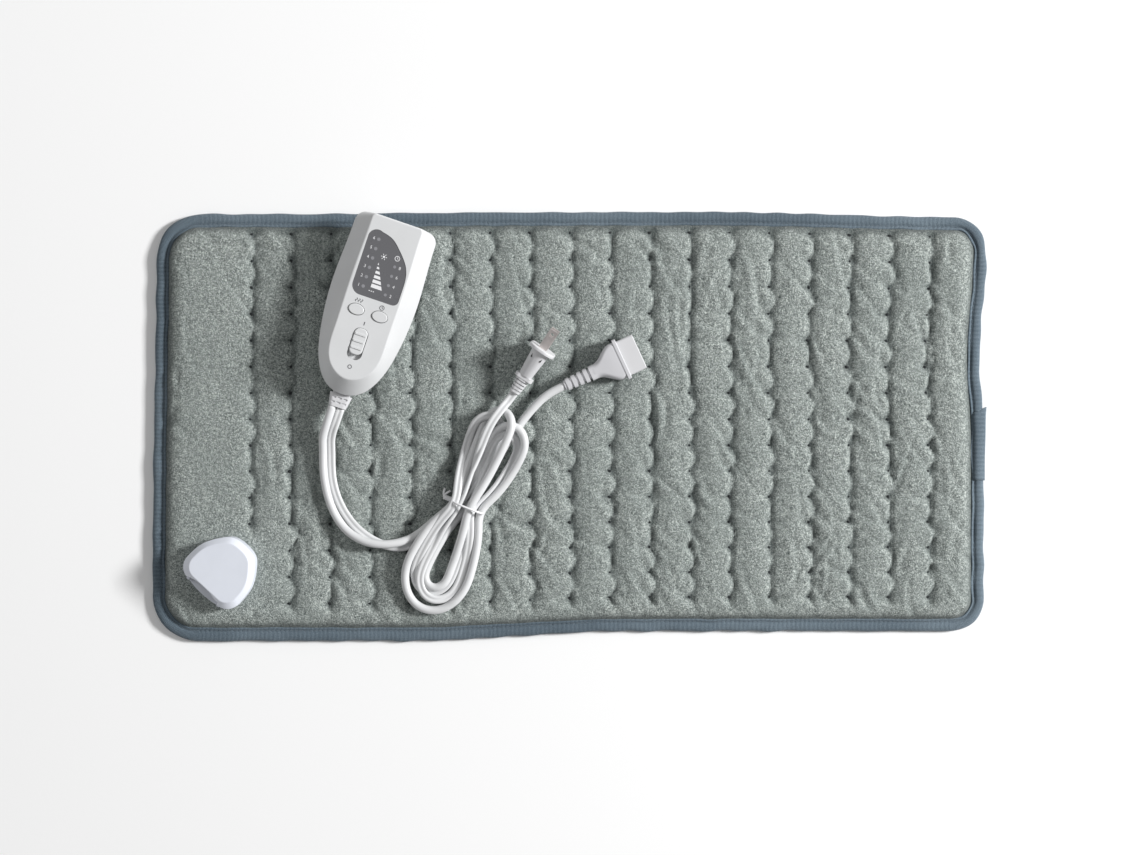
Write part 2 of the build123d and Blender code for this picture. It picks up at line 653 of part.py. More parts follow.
neck_back = block_back - 2.5 - 20.7
connector_relief_sizes = [(10.9 - 0.5 * index, 9.4 - 0.3 * index) for index in range(5)]
with BuildPart() as connector_body:
    rounded_block((30.9, 11.8), 2, connector, block_back - 2.5, block_back)
    fillet(connector_body.faces().sort_by(connector_axis)[-1].edges(), 0.6)
    with BuildSketch(connector.offset(block_back - 2.5)):
        RectangleRounded(27, 11, 3)
    with BuildSketch(connector.offset(block_back - 10)):
        RectangleRounded(24.5, 11, 3.4)
    with BuildSketch(connector.offset(neck_back + 5)):
        RectangleRounded(13, 10, 4)
    with BuildSketch(connector.offset(neck_back)):
        RectangleRounded(10.9, 9.6, 4)
    loft()
    connector_end = relief_rings(connector, neck_back, connector_relief_sizes, 4.68, (7.2, 7.2))
finish(connector_body, "connector_body")

# ---- cords
lie_pad = REST_HEIGHT + PAD_CORD_RADIUS
lie_mains = REST_HEIGHT + MAINS_CORD_RADIUS


def straight_out(plane, spot, start, reach):
    """A cord's first two points: on the face that it leaves, and straight out from it."""
    return [plane.from_local_coords((*spot, along)) for along in (start, start + reach)]


pad_lead_route = [
    *straight_out(boot_root, cord_spots["pad"], boot_end, 9),
    (-180, -6.5, 18.9),
    (-181.4, -17, 16.2),
    (-181.9, -28.5, lie_pad),
    (-180.9, -39.5, lie_pad),
    (-177, -53, lie_pad),
    (-170.6, -65.5, lie_pad + 0.3),
    (-161.4, -76, lie_pad + 1.6),
    (-150, -82.4, lie_pad + 3.6),
    (-137.5, -84.9, 20),
    (-124.5, -83.8, 20.4),
    (-112, -79.2, 20.6),
]
mains_lead_route = [
    *straight_out(boot_root, cord_spots["mains"], boot_end, 9),
    (-174, -6.5, 18),
    (-174.9, -17, 15.4),
    (-174.9, -28.5, lie_mains),
    (-173.3, -40, lie_mains),
    (-168.7, -52.8, lie_mains),
    (-162, -64.8, lie_mains),
    (-153.4, -74.8, lie_mains),
    (-142.5, -82.4, lie_mains),
    (-130, -86.6, lie_mains),
    (-117.5, -86.4, lie_mains + 0.2),
]
pad_tail_route = [
    *straight_out(connector, (0, 0), connector_end, -9),
    (-21.6, 19.8, 17.6),
    (-29.4, 11.6, 17.6),
    (-35.6, 2.6, 18.2),
]
mains_tail_route = [
    *straight_out(plug, (0, 0), plug_end, -6),
    (-49.2, 12.6, 19.4),
]

with BuildPart() as pad_cord_lead:
    add(cord_tube(pad_lead_route, PAD_CORD_RADIUS, "pad_cord_lead"))
finish(pad_cord_lead, "pad_cord_lead")

with BuildPart() as mains_cord_lead:
    add(cord_tube(mains_lead_route, MAINS_CORD_RADIUS, "mains_cord_lead"))
finish(mains_cord_lead, "mains_cord_lead")

with BuildPart() as pad_cord_tail:
    add(cord_tube(pad_tail_route, PAD_CORD_RADIUS, "pad_cord_tail"))
finish(pad_cord_tail, "pad_cord_tail")

with BuildPart() as mains_cord_tail:
    add(cord_tube(mains_tail_route, MAINS_CORD_RADIUS, "mains_cord_tail"))
finish(mains_cord_tail, "mains_cord_tail")

tie_plane = Plane(origin=hank.from_local_coords((0, 0, HANK_HEIGHT / 2)), x_dir=hank.x_dir, z_dir=hank.y_dir)
with BuildPart() as cord_hank:
    with BuildSketch(hank):
        with Locations((-3, -49)):
            Ellipse(26.5, 37)
        with Locations((2, 40)):
            Ellipse(23.5, 36.5)
        Rectangle(27, 40)
    extrude(amount=HANK_HEIGHT)
    with BuildSketch(tie_plane.offset(-TIE_WIDTH / 2)):
        Rectangle(40, HANK_HEIGHT)
        Rectangle(24, HANK_HEIGHT - 3, mode=Mode.SUBTRACT)
    extrude(amount=TIE_WIDTH, mode=Mode.SUBTRACT)
finish(cord_hank, "cord_hank")

with BuildPart() as cord_tie:
    with BuildSketch(tie_plane.offset(-TIE_WIDTH / 2)):
        Rectangle(26.4, HANK_HEIGHT)
        Rectangle(24, HANK_HEIGHT - 3, mode=Mode.SUBTRACT)
    extrude(amount=TIE_WIDTH)
finish(cord_tie, "cord_tie")
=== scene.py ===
import json
from math import cos, pi, radians, sin, sqrt, tau

import bpy
import numpy as np
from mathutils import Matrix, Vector


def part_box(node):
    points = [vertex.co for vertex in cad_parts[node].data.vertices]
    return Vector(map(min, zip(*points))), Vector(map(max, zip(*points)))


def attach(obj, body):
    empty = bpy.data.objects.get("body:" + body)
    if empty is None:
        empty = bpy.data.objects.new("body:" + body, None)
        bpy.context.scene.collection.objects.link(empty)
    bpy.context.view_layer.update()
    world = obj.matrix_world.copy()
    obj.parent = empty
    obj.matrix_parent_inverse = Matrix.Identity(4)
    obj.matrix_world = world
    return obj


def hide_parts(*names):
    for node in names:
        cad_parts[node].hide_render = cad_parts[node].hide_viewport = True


# Electric heating pad with its hand controller, its two cords tied in a hank, a mains plug and a pad
# connector. Metres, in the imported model's frame: the pad lies on z = 0, its long side along X.

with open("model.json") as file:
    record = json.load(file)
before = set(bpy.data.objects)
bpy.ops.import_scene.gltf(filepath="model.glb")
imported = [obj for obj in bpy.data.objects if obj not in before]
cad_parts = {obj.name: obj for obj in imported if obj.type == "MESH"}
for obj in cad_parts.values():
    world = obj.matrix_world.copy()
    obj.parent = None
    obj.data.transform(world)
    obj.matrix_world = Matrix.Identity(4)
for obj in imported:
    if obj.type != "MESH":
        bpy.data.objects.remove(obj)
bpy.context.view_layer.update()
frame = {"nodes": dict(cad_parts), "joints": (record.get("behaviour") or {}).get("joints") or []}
nodes = frame["nodes"]
scene = bpy.context.scene
MM = 0.001

# ---- camera: straight above the pad's centre
CAMERA_HEIGHT = 1.306
LENS = 56.2
camera = bpy.data.objects.new("camera", bpy.data.cameras.new("camera"))
scene.collection.objects.link(camera)
camera.data.sensor_width = 36
camera.data.lens = LENS
camera.location = (0, 0, CAMERA_HEIGHT)
scene.camera = camera

# ---- cords: routes in millimetres, each point (x, y, z) or (x, y, z, roll)
PAD_CORD = 6.0 * MM
MAINS_WIDTH = 6.2 * MM
MAINS_THICKNESS = 3.1 * MM
LIE_PAD = 15.25
LIE_MAINS = 14.1
LOW = 15.3
MIDDLE = 20.9
HANK_PLACE = (-74.9, -57.4)
HANK_TURN = radians(-22)
FLAT = 0
ON_EDGE = 90


def in_hank(across, along, height):
    """Point in the hank's own frame: across it, along it from the tie, and its height."""
    x = HANK_PLACE[0] + across * cos(HANK_TURN) - along * sin(HANK_TURN)
    y = HANK_PLACE[1] + across * sin(HANK_TURN) + along * cos(HANK_TURN)
    return (x, y, height)


def between(values, share):
    """Value at a share of the way through a few evenly spaced ones."""
    place = share * (len(values) - 1)
    index = min(int(place), len(values) - 2)
    return values[index] + (values[index + 1] - values[index]) * (place - index)


def half_turn(start, finish, left, right, along, heights):
    """Half a turn of the hank: from its slot in the tie, round the tip, and back to the next slot.

    start and finish are (across, height, roll) at the tie. left and right are the loop's sides, and
    along is how far it reaches, negative below the tie. heights go from the side going out, round the
    tip, to the side coming back. Each point is (x, y, z, roll).
    """
    middle, half = (left + right) / 2, (right - left) / 2
    side = 1 if finish[0] > start[0] else -1
    reach = abs(along)
    straight = reach - 1.25 * half
    toward = 1 if along > 0 else -1
    points = []

    def leg(slot, edge, height, parts):
        for part in parts:
            across = slot[0] + (edge - slot[0]) * sin(part * pi / 2) ** 0.75
            settle = part / 0.7
            level = slot[1] + (height - slot[1]) * settle
            place = in_hank(across, toward * straight * part, level)
            points.append((*place, slot[2] * (1 - settle)))

    leg(start, middle - side * half, heights[0], (0, 0.35, 0.7))
    for step in range(6):
        turn = pi * (0.04 + 0.184 * step)
        across = middle - side * 1.04 * half * cos(turn)
        distance = straight + (reach + 0.04 * half - straight) * sin(turn)
        place = in_hank(across, toward * distance, between(heights, (step + 1) / 7))
        points.append((*place, FLAT))
    leg(finish, middle + side * half, heights[-1], (0.7, 0.35))
    return points


pad_slots = [(-8, LOW, 0), (9.2, LOW, 0), (-8, MIDDLE, 0), (2, 23.8, 0), (0.3, LOW, 0)]
mains_slots = [
    (-3.9, LOW, ON_EDGE), (4.5, LOW, ON_EDGE), (-7.6, 25, FLAT), (2.5, 19.5, FLAT), (-3.9, MIDDLE, ON_EDGE),
]
pad_loops = [
    (-2, 23.3, 67, (LOW, 18.5, 21, 21, LOW)),
    (-24.5, 21.2, -80.5, (LOW, LOW, LOW, LOW, 20.6)),
    (-11, 9.2, 74.5, (LOW, LOW, 16.5, 25.5, 24)),
    (-10, 6.4, -63.5, (LOW, LOW, LOW)),
]
mains_loops = [
    (0.8, 19, 60, (18, 18, 19.6, 16.5, LIE_MAINS)),
    (-18.4, 9, -68.5, (LIE_MAINS, LIE_MAINS, LIE_MAINS, LIE_MAINS, 20)),
    (-17.4, 4.5, 68, (LIE_MAINS, 17.5, 19.8, 14.8, 18)),
    (-13.2, 15.5, -71.5, (LIE_MAINS, LIE_MAINS, 17, 17, 18.5)),
]


def wound(slots, loops):
    """Every half turn of one cord's hank, in order."""
    pairs = zip(slots, slots[1:])
    return [point for pair, loop in zip(pairs, loops) for point in half_turn(*pair, *loop)]


# Places on the hand controller are in its own millimetres: x across it, y along it, z out of its face.
WINDOW_LEFT = -17.2
WINDOW_FOOT = 71.4
WINDOW_TOP = 24.7
travel = {joint["name"]: np.array(joint["axis"]) for joint in frame["joints"]}
face_out = -travel["heat_press"]
face_up = -travel["power_slide"]
face_axes = np.array([np.cross(face_up, face_out), face_up, face_out])
window_vertices = nodes["display_window"].data.vertices
window_points = np.array([vertex.co for vertex in window_vertices]) @ face_axes.T
window_corner = np.array((WINDOW_LEFT, WINDOW_FOOT, WINDOW_TOP)) * MM
window_place = np.array((*window_points.min(axis=0)[:2], window_points[:, 2].max()))
face_origin = (window_place - window_corner) @ face_axes


def on_controller(x, y, z):
    """Place on the hand controller, in the model's millimetres."""
    return tuple(face_origin / MM + np.array((x, y, z)) @ face_axes)


PAD_EXIT = on_controller(-3.3, -10, 7)
MAINS_EXIT = on_controller(2.7, -10, 7)
pad_route = [
    PAD_EXIT, on_controller(-3.3, -19, 7), (-179, -6.5, 18.9), (-178.9, -17, 16.2),
    (-179, -28.5, LIE_PAD), (-178, -39.5, LIE_PAD), (-174.9, -53, LIE_PAD), (-169.4, -65.5, LIE_PAD),
    (-161, -76, LIE_PAD + 1), (-150, -82.4, LIE_PAD + 3), (-137.5, -84.9, 19), (-124.5, -83.8, 17.6),
    (-112, -79.2, LIE_PAD), in_hank(-18, -18, LIE_PAD),
    *wound(pad_slots, pad_loops),
    in_hank(0.3, 0, LOW), in_hank(4.2, 12, LOW), in_hank(6.6, 28, LOW), in_hank(8, 46, LOW),
    (-39.5, -2.5, LOW), (-32, 8, 16.5), (-21.6, 19.8, 18), (-12.09, 26.51, 18.6), (-3.92, 30.28, 18.6),
]
mains_route = [
    MAINS_EXIT, on_controller(2.7, -19, 7), (-173.2, -6.5, 18), (-173.2, -17, 15.4),
    (-173.3, -28.5, LIE_MAINS), (-172.3, -40, LIE_MAINS), (-168.5, -52.8, LIE_MAINS),
    (-162, -64.8, LIE_MAINS), (-153.4, -74.8, LIE_MAINS), (-142.5, -82.4, LIE_MAINS),
    (-130, -87, LIE_MAINS), (-117.5, -86.8, LIE_MAINS), in_hank(-19, -32, LIE_MAINS),
    in_hank(-10.5, -15, LIE_MAINS),
    *wound(mains_slots, mains_loops),
    (*in_hank(-3.9, 0, MIDDLE), ON_EDGE), (*in_hank(-5.5, 25, MIDDLE), ON_EDGE), in_hank(-6.5, 45, 22),
    in_hank(-6.3, 62, 23.5), in_hank(-2.8, 76, 22), (-43.77, 20.14, 19.21), (-40.48, 25.07, 20.15),
]


def centreline(route):
    """Points along a route's NURBS spline, in metres."""
    curve = bpy.data.curves.new("centreline", "CURVE")
    curve.dimensions = "3D"
    curve.resolution_u = 8
    spline = curve.splines.new("NURBS")
    spline.points.add(len(route) - 1)
    for point, place in zip(spline.points, route):
        point.co = (*[value * MM for value in place[:3]], 1)
    spline.order_u = 3
    spline.use_endpoint_u = True
    guide = bpy.data.objects.new("centreline", curve)
    scene.collection.objects.link(guide)
    mesh = bpy.data.meshes.new_from_object(guide)
    points = np.array([vertex.co for vertex in mesh.vertices])
    bpy.data.meshes.remove(mesh)
    bpy.data.objects.remove(guide)
    return points


def mesh_piece(name, points, faces, smooth=True):
    """Mesh object from its points and faces."""
    mesh = bpy.data.meshes.new(name)
    mesh.from_pydata([tuple(point) for point in points], [], [tuple(face) for face in faces])
    mesh.update()
    if smooth:
        mesh.shade_smooth()
    piece = bpy.data.objects.new(name, mesh)
    scene.collection.objects.link(piece)
    return piece


def tube_faces(stations, around, capped=True, closed=False):
    """Faces of a tube of rings, one ring after another."""
    faces = []
    last = stations if closed else stations - 1
    for station in range(last):
        here, ahead = station * around, (station + 1) % stations * around
        for corner in range(around):
            onward = (corner + 1) % around
            faces.append((here + corner, here + onward, ahead + onward, ahead + corner))
    if capped:
        faces.append(tuple(reversed(range(around))))
        faces.append(tuple(range((stations - 1) * around, stations * around)))
    return faces


def twin_profile(count=28):
    """Section of the flat mains cord: two round cores side by side with a groove between them."""
    radius = MAINS_THICKNESS / 2
    reach = MAINS_WIDTH / 2
    points = []
    for index in range(count):
        turn = tau * index / count
        across = reach * cos(turn)
        groove = 1 - 0.34 * (1 - min(1, abs(across) / radius)) ** 2
        inner = max(0, abs(across) - (reach - radius))
        level = sqrt(max(0, radius**2 - inner**2))
        points.append((across, level * groove * (1 if sin(turn) >= 0 else -1)))
    return np.array(points)


def round_profile(radius, count=20):
    """Section of a round cord or wire."""
    turns = tau * np.arange(count) / count
    return radius * np.stack([np.cos(turns), np.sin(turns)], axis=1)


def swept(name, route, profile):
    """Mesh of a section swept along a route and rolled as its points say, and the line itself."""
    line = centreline(route)
    rolls = [place[3] if len(place) > 3 else FLAT for place in route]
    centres = np.clip(np.arange(len(route)) - 0.5, 0, len(route) - 2)
    along = np.linspace(0, len(route) - 2, len(line))
    roll = np.radians(np.interp(along, centres, rolls))
    tangent = np.gradient(line, axis=0)
    tangent /= np.linalg.norm(tangent, axis=1)[:, None]
    sideways = np.cross(tangent, (0, 0, 1))
    sideways /= np.linalg.norm(sideways, axis=1)[:, None]
    upward = np.cross(sideways, tangent)
    wide = sideways * np.cos(roll)[:, None] + upward * np.sin(roll)[:, None]
    high = upward * np.cos(roll)[:, None] - sideways * np.sin(roll)[:, None]
    rings = line[:, None] + wide[:, None] * profile[None, :, :1] + high[:, None] * profile[None, :, 1:]
    piece = mesh_piece(name, rings.reshape(-1, 3), tube_faces(len(line), len(profile)))
    return piece, line


pad_cord, pad_line = swept("pad_cord", pad_route, round_profile(PAD_CORD / 2))
mains_cord, mains_line = swept("mains_cord", mains_route, twin_profile())
for cord in (pad_cord, mains_cord):
    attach(cord, "controller")
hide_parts("pad_cord_lead", "pad_cord_tail", "cord_hank")
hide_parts("mains_cord_lead", "mains_cord_tail")


# ---- pad outline: a rounded rectangle that the sewing has pulled a little out of true
def box_mm(node):
    """A CAD node's lowest and highest corners, in millimetres."""
    low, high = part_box(node)
    return np.array(low) / MM, np.array(high) / MM


HALF_LENGTH, HALF_WIDTH = box_mm("edge_binding")[1][:2]
CROWN = box_mm("top_cover")[1][2]
CORNER_LEFT = 33
CORNER_RIGHT = 25
BINDING_WIDTH = 10
# how far each side has drifted outward (+) or inward (-): (place along it, drift)
LEFT_DRIFT = ((-115, 1.7), (150, -1.2))
RIGHT_DRIFT = ((-10, -1), (50, -4), (128, 1))
TOP_DRIFT = ((-250, 2.3), (20, 3.8), (110, 3.8), (285, 0))
BOTTOM_DRIFT = ((-290, 2.3), (-125, 2.3), (50, -5))


def eased(value, stations):
    """Smooth course through a few (place, value) stations."""
    places = np.array([place for place, _ in stations], float)
    values = np.array([drift for _, drift in stations], float)
    index = np.clip(np.searchsorted(places, value) - 1, 0, len(places) - 2)
    share = np.clip((value - places[index]) / (places[index + 1] - places[index]), 0, 1)
    share = share * share * (3 - 2 * share)
    return values[index] + (values[index + 1] - values[index]) * share


def drifted(x, y):
    """Where a point of the true outline has gone."""
    reach_x = (x / HALF_LENGTH) ** 2
    reach_y = (y / HALF_WIDTH) ** 2
    shift_x = np.where(x < 0, -eased(y, LEFT_DRIFT), eased(y, RIGHT_DRIFT))
    shift_y = np.where(y > 0, eased(x, TOP_DRIFT), -eased(x, BOTTOM_DRIFT))
    return x + shift_x * reach_x, y + shift_y * reach_y


def corner_radius(x):
    return np.where(x < 0, CORNER_LEFT, CORNER_RIGHT)


def inset_of(x, y):
    """Distance in from the pad's true outline."""
    radius = corner_radius(x)
    over_x = np.abs(x) - (HALF_LENGTH - radius)
    over_y = np.abs(y) - (HALF_WIDTH - radius)
    outside = np.hypot(np.maximum(over_x, 0), np.maximum(over_y, 0))
    return radius - outside - np.minimum(np.maximum(over_x, over_y), 0)


# ---- quilted pad: two sheets over the wadding, tacked together in columns of dots
SHEET_INSET = 4.5
SHEET_EDGE = 3.9
ROLL_OVER = 13
COLUMN_PITCH = 29.1
ROW_PITCH = 19.0
COLUMNS = 18
ROWS = 15
FIRST_COLUMN = -233.0
FIRST_ROW = -127.0
STEPS_PER_COLUMN = 16
STEPS_PER_ROW = 8
rng = np.random.default_rng(7)
scallop = rng.uniform(1.2, 5.2, (COLUMNS, ROWS + 1))
pull = rng.uniform(0.75, 1.25, (COLUMNS, ROWS))
crossing = rng.uniform(0.3, 2.1, (COLUMNS + 1, ROWS))
tack_x = FIRST_COLUMN + COLUMN_PITCH * np.arange(COLUMNS)
tack_y = FIRST_ROW + ROW_PITCH * np.arange(ROWS)
socket_low, socket_high = box_mm("socket_base_shell")
socket_centre = (socket_low + socket_high)[:2] / 2
SOCKET_REACH = 29
CLOTH = {
    "quality": 5, "mass": 0.25, "tension_stiffness": 12, "compression_stiffness": 12,
    "shear_stiffness": 4, "bending_stiffness": 0.25, "tension_damping": 10, "compression_damping": 10,
    "air_damping": 4, "vertex_group_mass": "held", "pin_stiffness": 1,
    "use_pressure": True, "uniform_pressure_force": 1.0,
}


def stops(edge, first, pitch, count, steps, margin_steps):
    """Grid lines of one direction: even margins on both sides, and steps lines to each tack pitch."""
    last = first + pitch * (count - 1)
    low = np.linspace(-edge, first, margin_steps[0], endpoint=False)
    quilt = np.linspace(first, last, steps * (count - 1), endpoint=False)
    high = np.linspace(last, edge, margin_steps[1])
    return np.concatenate([low, quilt, high])


def rounded(grid_x, grid_y):
    """Square grid with its corners drawn in to the sheet's round ones."""
    radius = corner_radius(grid_x) - SHEET_INSET
    over_x = np.abs(grid_x) - (HALF_LENGTH - SHEET_INSET - radius)
    over_y = np.abs(grid_y) - (HALF_WIDTH - SHEET_INSET - radius)
    in_corner = (over_x > 0) & (over_y > 0)
    span = np.maximum(np.hypot(over_x, over_y), 1e-6)
    scale = np.where(in_corner, np.maximum(over_x, over_y) / span, 1)
    x = np.where(in_corner, np.sign(grid_x) * (np.abs(grid_x) - over_x * (1 - scale)), grid_x)
    y = np.where(in_corner, np.sign(grid_y) * (np.abs(grid_y) - over_y * (1 - scale)), grid_y)
    return x, y


def socket_share(x, y):
    """1 under the socket, where the cover is held flat, fading to 0 around it."""
    away = np.hypot(x - socket_centre[0], y - socket_centre[1])
    return np.clip((SOCKET_REACH + 9 - away) / 9, 0, 1)


def ripples(x, y):
    """Low uneven swells of loose cloth over wadding."""
    total = np.zeros_like(x)
    for _ in range(26):
        heading = rng.uniform(0, pi)
        wave = rng.uniform(9, 34)
        phase = rng.uniform(0, tau)
        total += np.sin((x * cos(heading) + y * sin(heading)) * tau / wave + phase) * wave / 34
    return total / 9


def wrinkles(x, y, count):
    """Short creases of slack cloth, most of them slanting, and closer together at the lower right."""
    total = np.zeros_like(x)
    for _ in range(count):
        centre_x = HALF_LENGTH * (1 - 2 * rng.random() ** 1.25)
        centre_y = HALF_WIDTH * (2 * rng.random() ** 1.2 - 1)
        heading = radians(rng.normal(128, 34))
        reach = rng.uniform(8, 30)
        breadth = rng.uniform(1.3, 2.8)
        bow = rng.uniform(-0.012, 0.012)
        along = (x - centre_x) * cos(heading) + (y - centre_y) * sin(heading)
        across = (y - centre_y) * cos(heading) - (x - centre_x) * sin(heading) - bow * along**2
        ridge = np.exp(-((along / reach) ** 4) - (across / breadth) ** 2)
        ditch = np.exp(-((along / reach) ** 4) - ((across + 1.7 * breadth) / breadth) ** 2)
        total += rng.uniform(0.35, 1) * (ridge - ditch)
    return total


def crowned(height):
    """Heights eased to stay under the crown, where the controller and cords rest."""
    over = np.maximum(height - CROWN + 0.9, 0)
    return np.minimum(height, CROWN - 0.9) + 0.9 * np.tanh(over / 0.9)


def quilt_height(x, y):
    """Height of the top sheet over the ground."""
    roll = np.clip((inset_of(x, y) - BINDING_WIDTH + 0.2) / ROLL_OVER, 0, 1)
    rise = np.sqrt(np.maximum(1 - (1 - roll) ** 2, 0))
    row = (y - FIRST_ROW) / ROW_PITCH
    row_index = np.clip(np.floor(row).astype(int) + 1, 0, ROWS)
    column = np.clip(np.round((x - FIRST_COLUMN - 1) / COLUMN_PITCH).astype(int), 0, COLUMNS - 1)
    arch = np.abs(np.sin(np.clip(row, -0.35, ROWS - 0.65) * pi))
    crease_x = tack_x[column] + scallop[column, row_index] * arch
    from_crease = x - crease_x
    nearest_row = np.clip(np.round(row).astype(int), 0, ROWS - 1)
    from_row = y - tack_y[nearest_row]
    from_tack = np.hypot(x - tack_x[column], from_row)
    inside = np.clip((x - FIRST_COLUMN + 16) / 16, 0, 1) * np.clip((tack_x[-1] + 24 - x) / 20, 0, 1)
    inside *= np.clip((ROWS - 0.55 - row) / 0.3, 0, 1) * np.clip((row + 0.5) / 0.3, 0, 1)
    flat = socket_share(x, y)
    quilted = inside * (1 - flat)
    strength = pull[column, nearest_row]
    valley = 1.9 * np.exp(-((np.abs(from_crease) / 1.9) ** 1.5))
    share = np.clip(np.abs(from_crease) / (COLUMN_PITCH / 2), 0, 1)
    lean = np.where(from_crease < 0, 0.3, 0.75)
    swell = 1.9 * share**lean
    rib = np.clip(column + (from_crease > 0), 0, COLUMNS)
    row_pull = crossing[rib, nearest_row] * np.exp(-((np.abs(from_row - 1.2 * share) / 2.6) ** 1.5))
    row_pull *= 1 - 0.75 * share**2
    pit = 1.5 * strength * np.exp(-((from_tack / 2.2) ** 1.5))
    slack = 0.5 * ripples(x, y) + 1.1 * wrinkles(x, y, 520)
    plump = 9.75 + swell * quilted + (1 - quilted) * 1.75
    top = plump - quilted * (valley + row_pull + pit) + slack * (1 - 0.85 * flat)
    top = crowned(top)
    top = np.maximum(top, 7.6) * (1 - flat) + (CROWN - 0.05) * flat
    return SHEET_EDGE + (top - SHEET_EDGE) * rise


def simulated(top, grid_shape, held):
    """The top sheet after its slack cloth has swelled between the tacks."""
    rows, columns = grid_shape
    faces = grid_faces(rows, columns, 0)
    cloth = mesh_piece("quilt_cloth", top * MM, faces)
    group = cloth.vertex_groups.new(name="held")
    group.add([int(index) for index in np.flatnonzero(held)], 1, "REPLACE")
    cloth.shape_key_add(name="Basis")
    slack = cloth.shape_key_add(name="slack")
    for index, place in enumerate(top * MM):
        slack.data[index].co = (place[0] * 1.05, place[1] * 1.06, place[2])
    slack.value = 0
    modifier = cloth.modifiers.new("cloth", "CLOTH")
    settings = modifier.settings
    for name, value in CLOTH.items():
        setattr(settings, name, value)
    settings.rest_shape_key = slack
    settings.effector_weights.gravity = 0
    modifier.collision_settings.use_collision = False
    for frame_number in range(1, 19):
        scene.frame_set(frame_number)
    finished = bpy.data.meshes.new_from_object(cloth.evaluated_get(bpy.context.evaluated_depsgraph_get()))
    moved = np.array([vertex.co for vertex in finished.vertices]) / MM
    bpy.data.meshes.remove(finished)
    bpy.data.objects.remove(cloth)
    scene.frame_set(1)
    return moved


def grid_faces(rows, columns, first):
    """Faces of a grid of points, counted from one of them."""
    index = np.arange(rows * columns).reshape(rows, columns) + first
    corners = (index[:-1, :-1], index[:-1, 1:], index[1:, 1:], index[1:, :-1])
    return np.stack(corners, axis=-1).reshape(-1, 4)


def build_quilt():
    """Top and bottom sheets joined round their edge, as one closed padded form."""
    edge_x = HALF_LENGTH - SHEET_INSET
    edge_y = HALF_WIDTH - SHEET_INSET
    line_x = stops(edge_x, FIRST_COLUMN, COLUMN_PITCH, COLUMNS, STEPS_PER_COLUMN, (36, 22))
    line_y = stops(edge_y, FIRST_ROW, ROW_PITCH, ROWS, STEPS_PER_ROW, (10, 6))
    grid_x, grid_y = np.meshgrid(line_x, line_y)
    x, y = rounded(grid_x, grid_y)
    shape = x.shape
    height = quilt_height(x, y)
    top = np.stack([x, y, height], axis=-1).reshape(-1, 3)
    inset = inset_of(top[:, 0], top[:, 1])
    near_column = np.abs((top[:, 0] - FIRST_COLUMN + 1e-6) % COLUMN_PITCH) < 1e-3
    near_row = np.abs((top[:, 1] - FIRST_ROW + 1e-6) % ROW_PITCH) < 1e-3
    in_field = (top[:, 0] > FIRST_COLUMN - 1) & (top[:, 0] < tack_x[-1] + 1) & (top[:, 1] < tack_y[-1] + 1)
    tacked = near_column & near_row & in_field
    under_socket = socket_share(top[:, 0], top[:, 1]) > 0.4
    held = (inset < BINDING_WIDTH + 1.5) | tacked | under_socket
    moved = simulated(top, shape, held)
    shift = moved - top
    length = np.linalg.norm(shift, axis=1)[:, None]
    shift *= np.minimum(1, 2.6 / np.maximum(length, 1e-9))
    top = top + shift
    lowest = np.where(inset > BINDING_WIDTH + 8, 7.3, SHEET_EDGE)
    top[:, 2] = np.maximum(crowned(top[:, 2]), lowest)
    tack_away = np.hypot(
        x - tack_x[np.clip(np.round((x - FIRST_COLUMN) / COLUMN_PITCH).astype(int), 0, COLUMNS - 1)],
        y - tack_y[np.clip(np.round((y - FIRST_ROW) / ROW_PITCH).astype(int), 0, ROWS - 1)],
    ).reshape(-1)
    dimple = 0.9 * np.exp(-((tack_away / 4) ** 2))
    bottom_height = np.where(inset < BINDING_WIDTH, 0.75, dimple)
    bottom = np.stack([x.reshape(-1), y.reshape(-1), bottom_height], axis=-1)
    # how far the top sheet sinks below its crown, kept for painted shade in the creases and tack dimples
    depth = np.clip((CROWN - 0.8 - top[:, 2]) / 4, 0, 1)
    points = np.concatenate([top, bottom])
    points[:, 0], points[:, 1] = drifted(points[:, 0], points[:, 1])
    rows, columns = shape
    count = rows * columns
    index = np.arange(count).reshape(shape)
    rim = np.concatenate([index[0, :-1], index[:-1, -1], index[-1, :0:-1], index[:0:-1, 0]])
    onward = np.roll(rim, -1)
    sides = np.stack([rim, rim + count, onward + count, onward], axis=-1)
    top_faces = grid_faces(rows, columns, 0)
    bottom_faces = grid_faces(rows, columns, count)[:, ::-1]
    quilt = mesh_piece("quilted_pad", points * MM, np.concatenate([top_faces, bottom_faces, sides]))
    # painted shade: the sunken share of the top sheet, which the plush material darkens
    crease_shade = quilt.data.attributes.new("crease_shade", "FLOAT", "POINT")
    crease_shade.data.foreach_set("value", np.concatenate([depth, np.zeros(count)]).astype(np.float32))
    side_of = np.ones(len(quilt.data.polygons), np.int32)
    side_of[: len(top_faces)] = 0
    quilt.data.materials.append(plush_material())
    quilt.data.materials.append(backing_material())
    quilt.data.polygons.foreach_set("material_index", side_of)
    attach(quilt, "pad")
    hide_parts("top_cover", "bottom_cover", "upper_wadding", "lower_wadding", "element_carrier")
    return top


# ---- materials
def rgb(*levels):
    """sRGB levels from 0 to 255 as a linear colour."""
    shares = [level / 255 for level in levels]
    linear = [s / 12.92 if s <= 0.04045 else ((s + 0.055) / 1.055) ** 2.4 for s in shares]
    return (*linear, 1)


def dimmed(colour, share):
    return tuple(channel * share for channel in colour[:3]) + (1,)


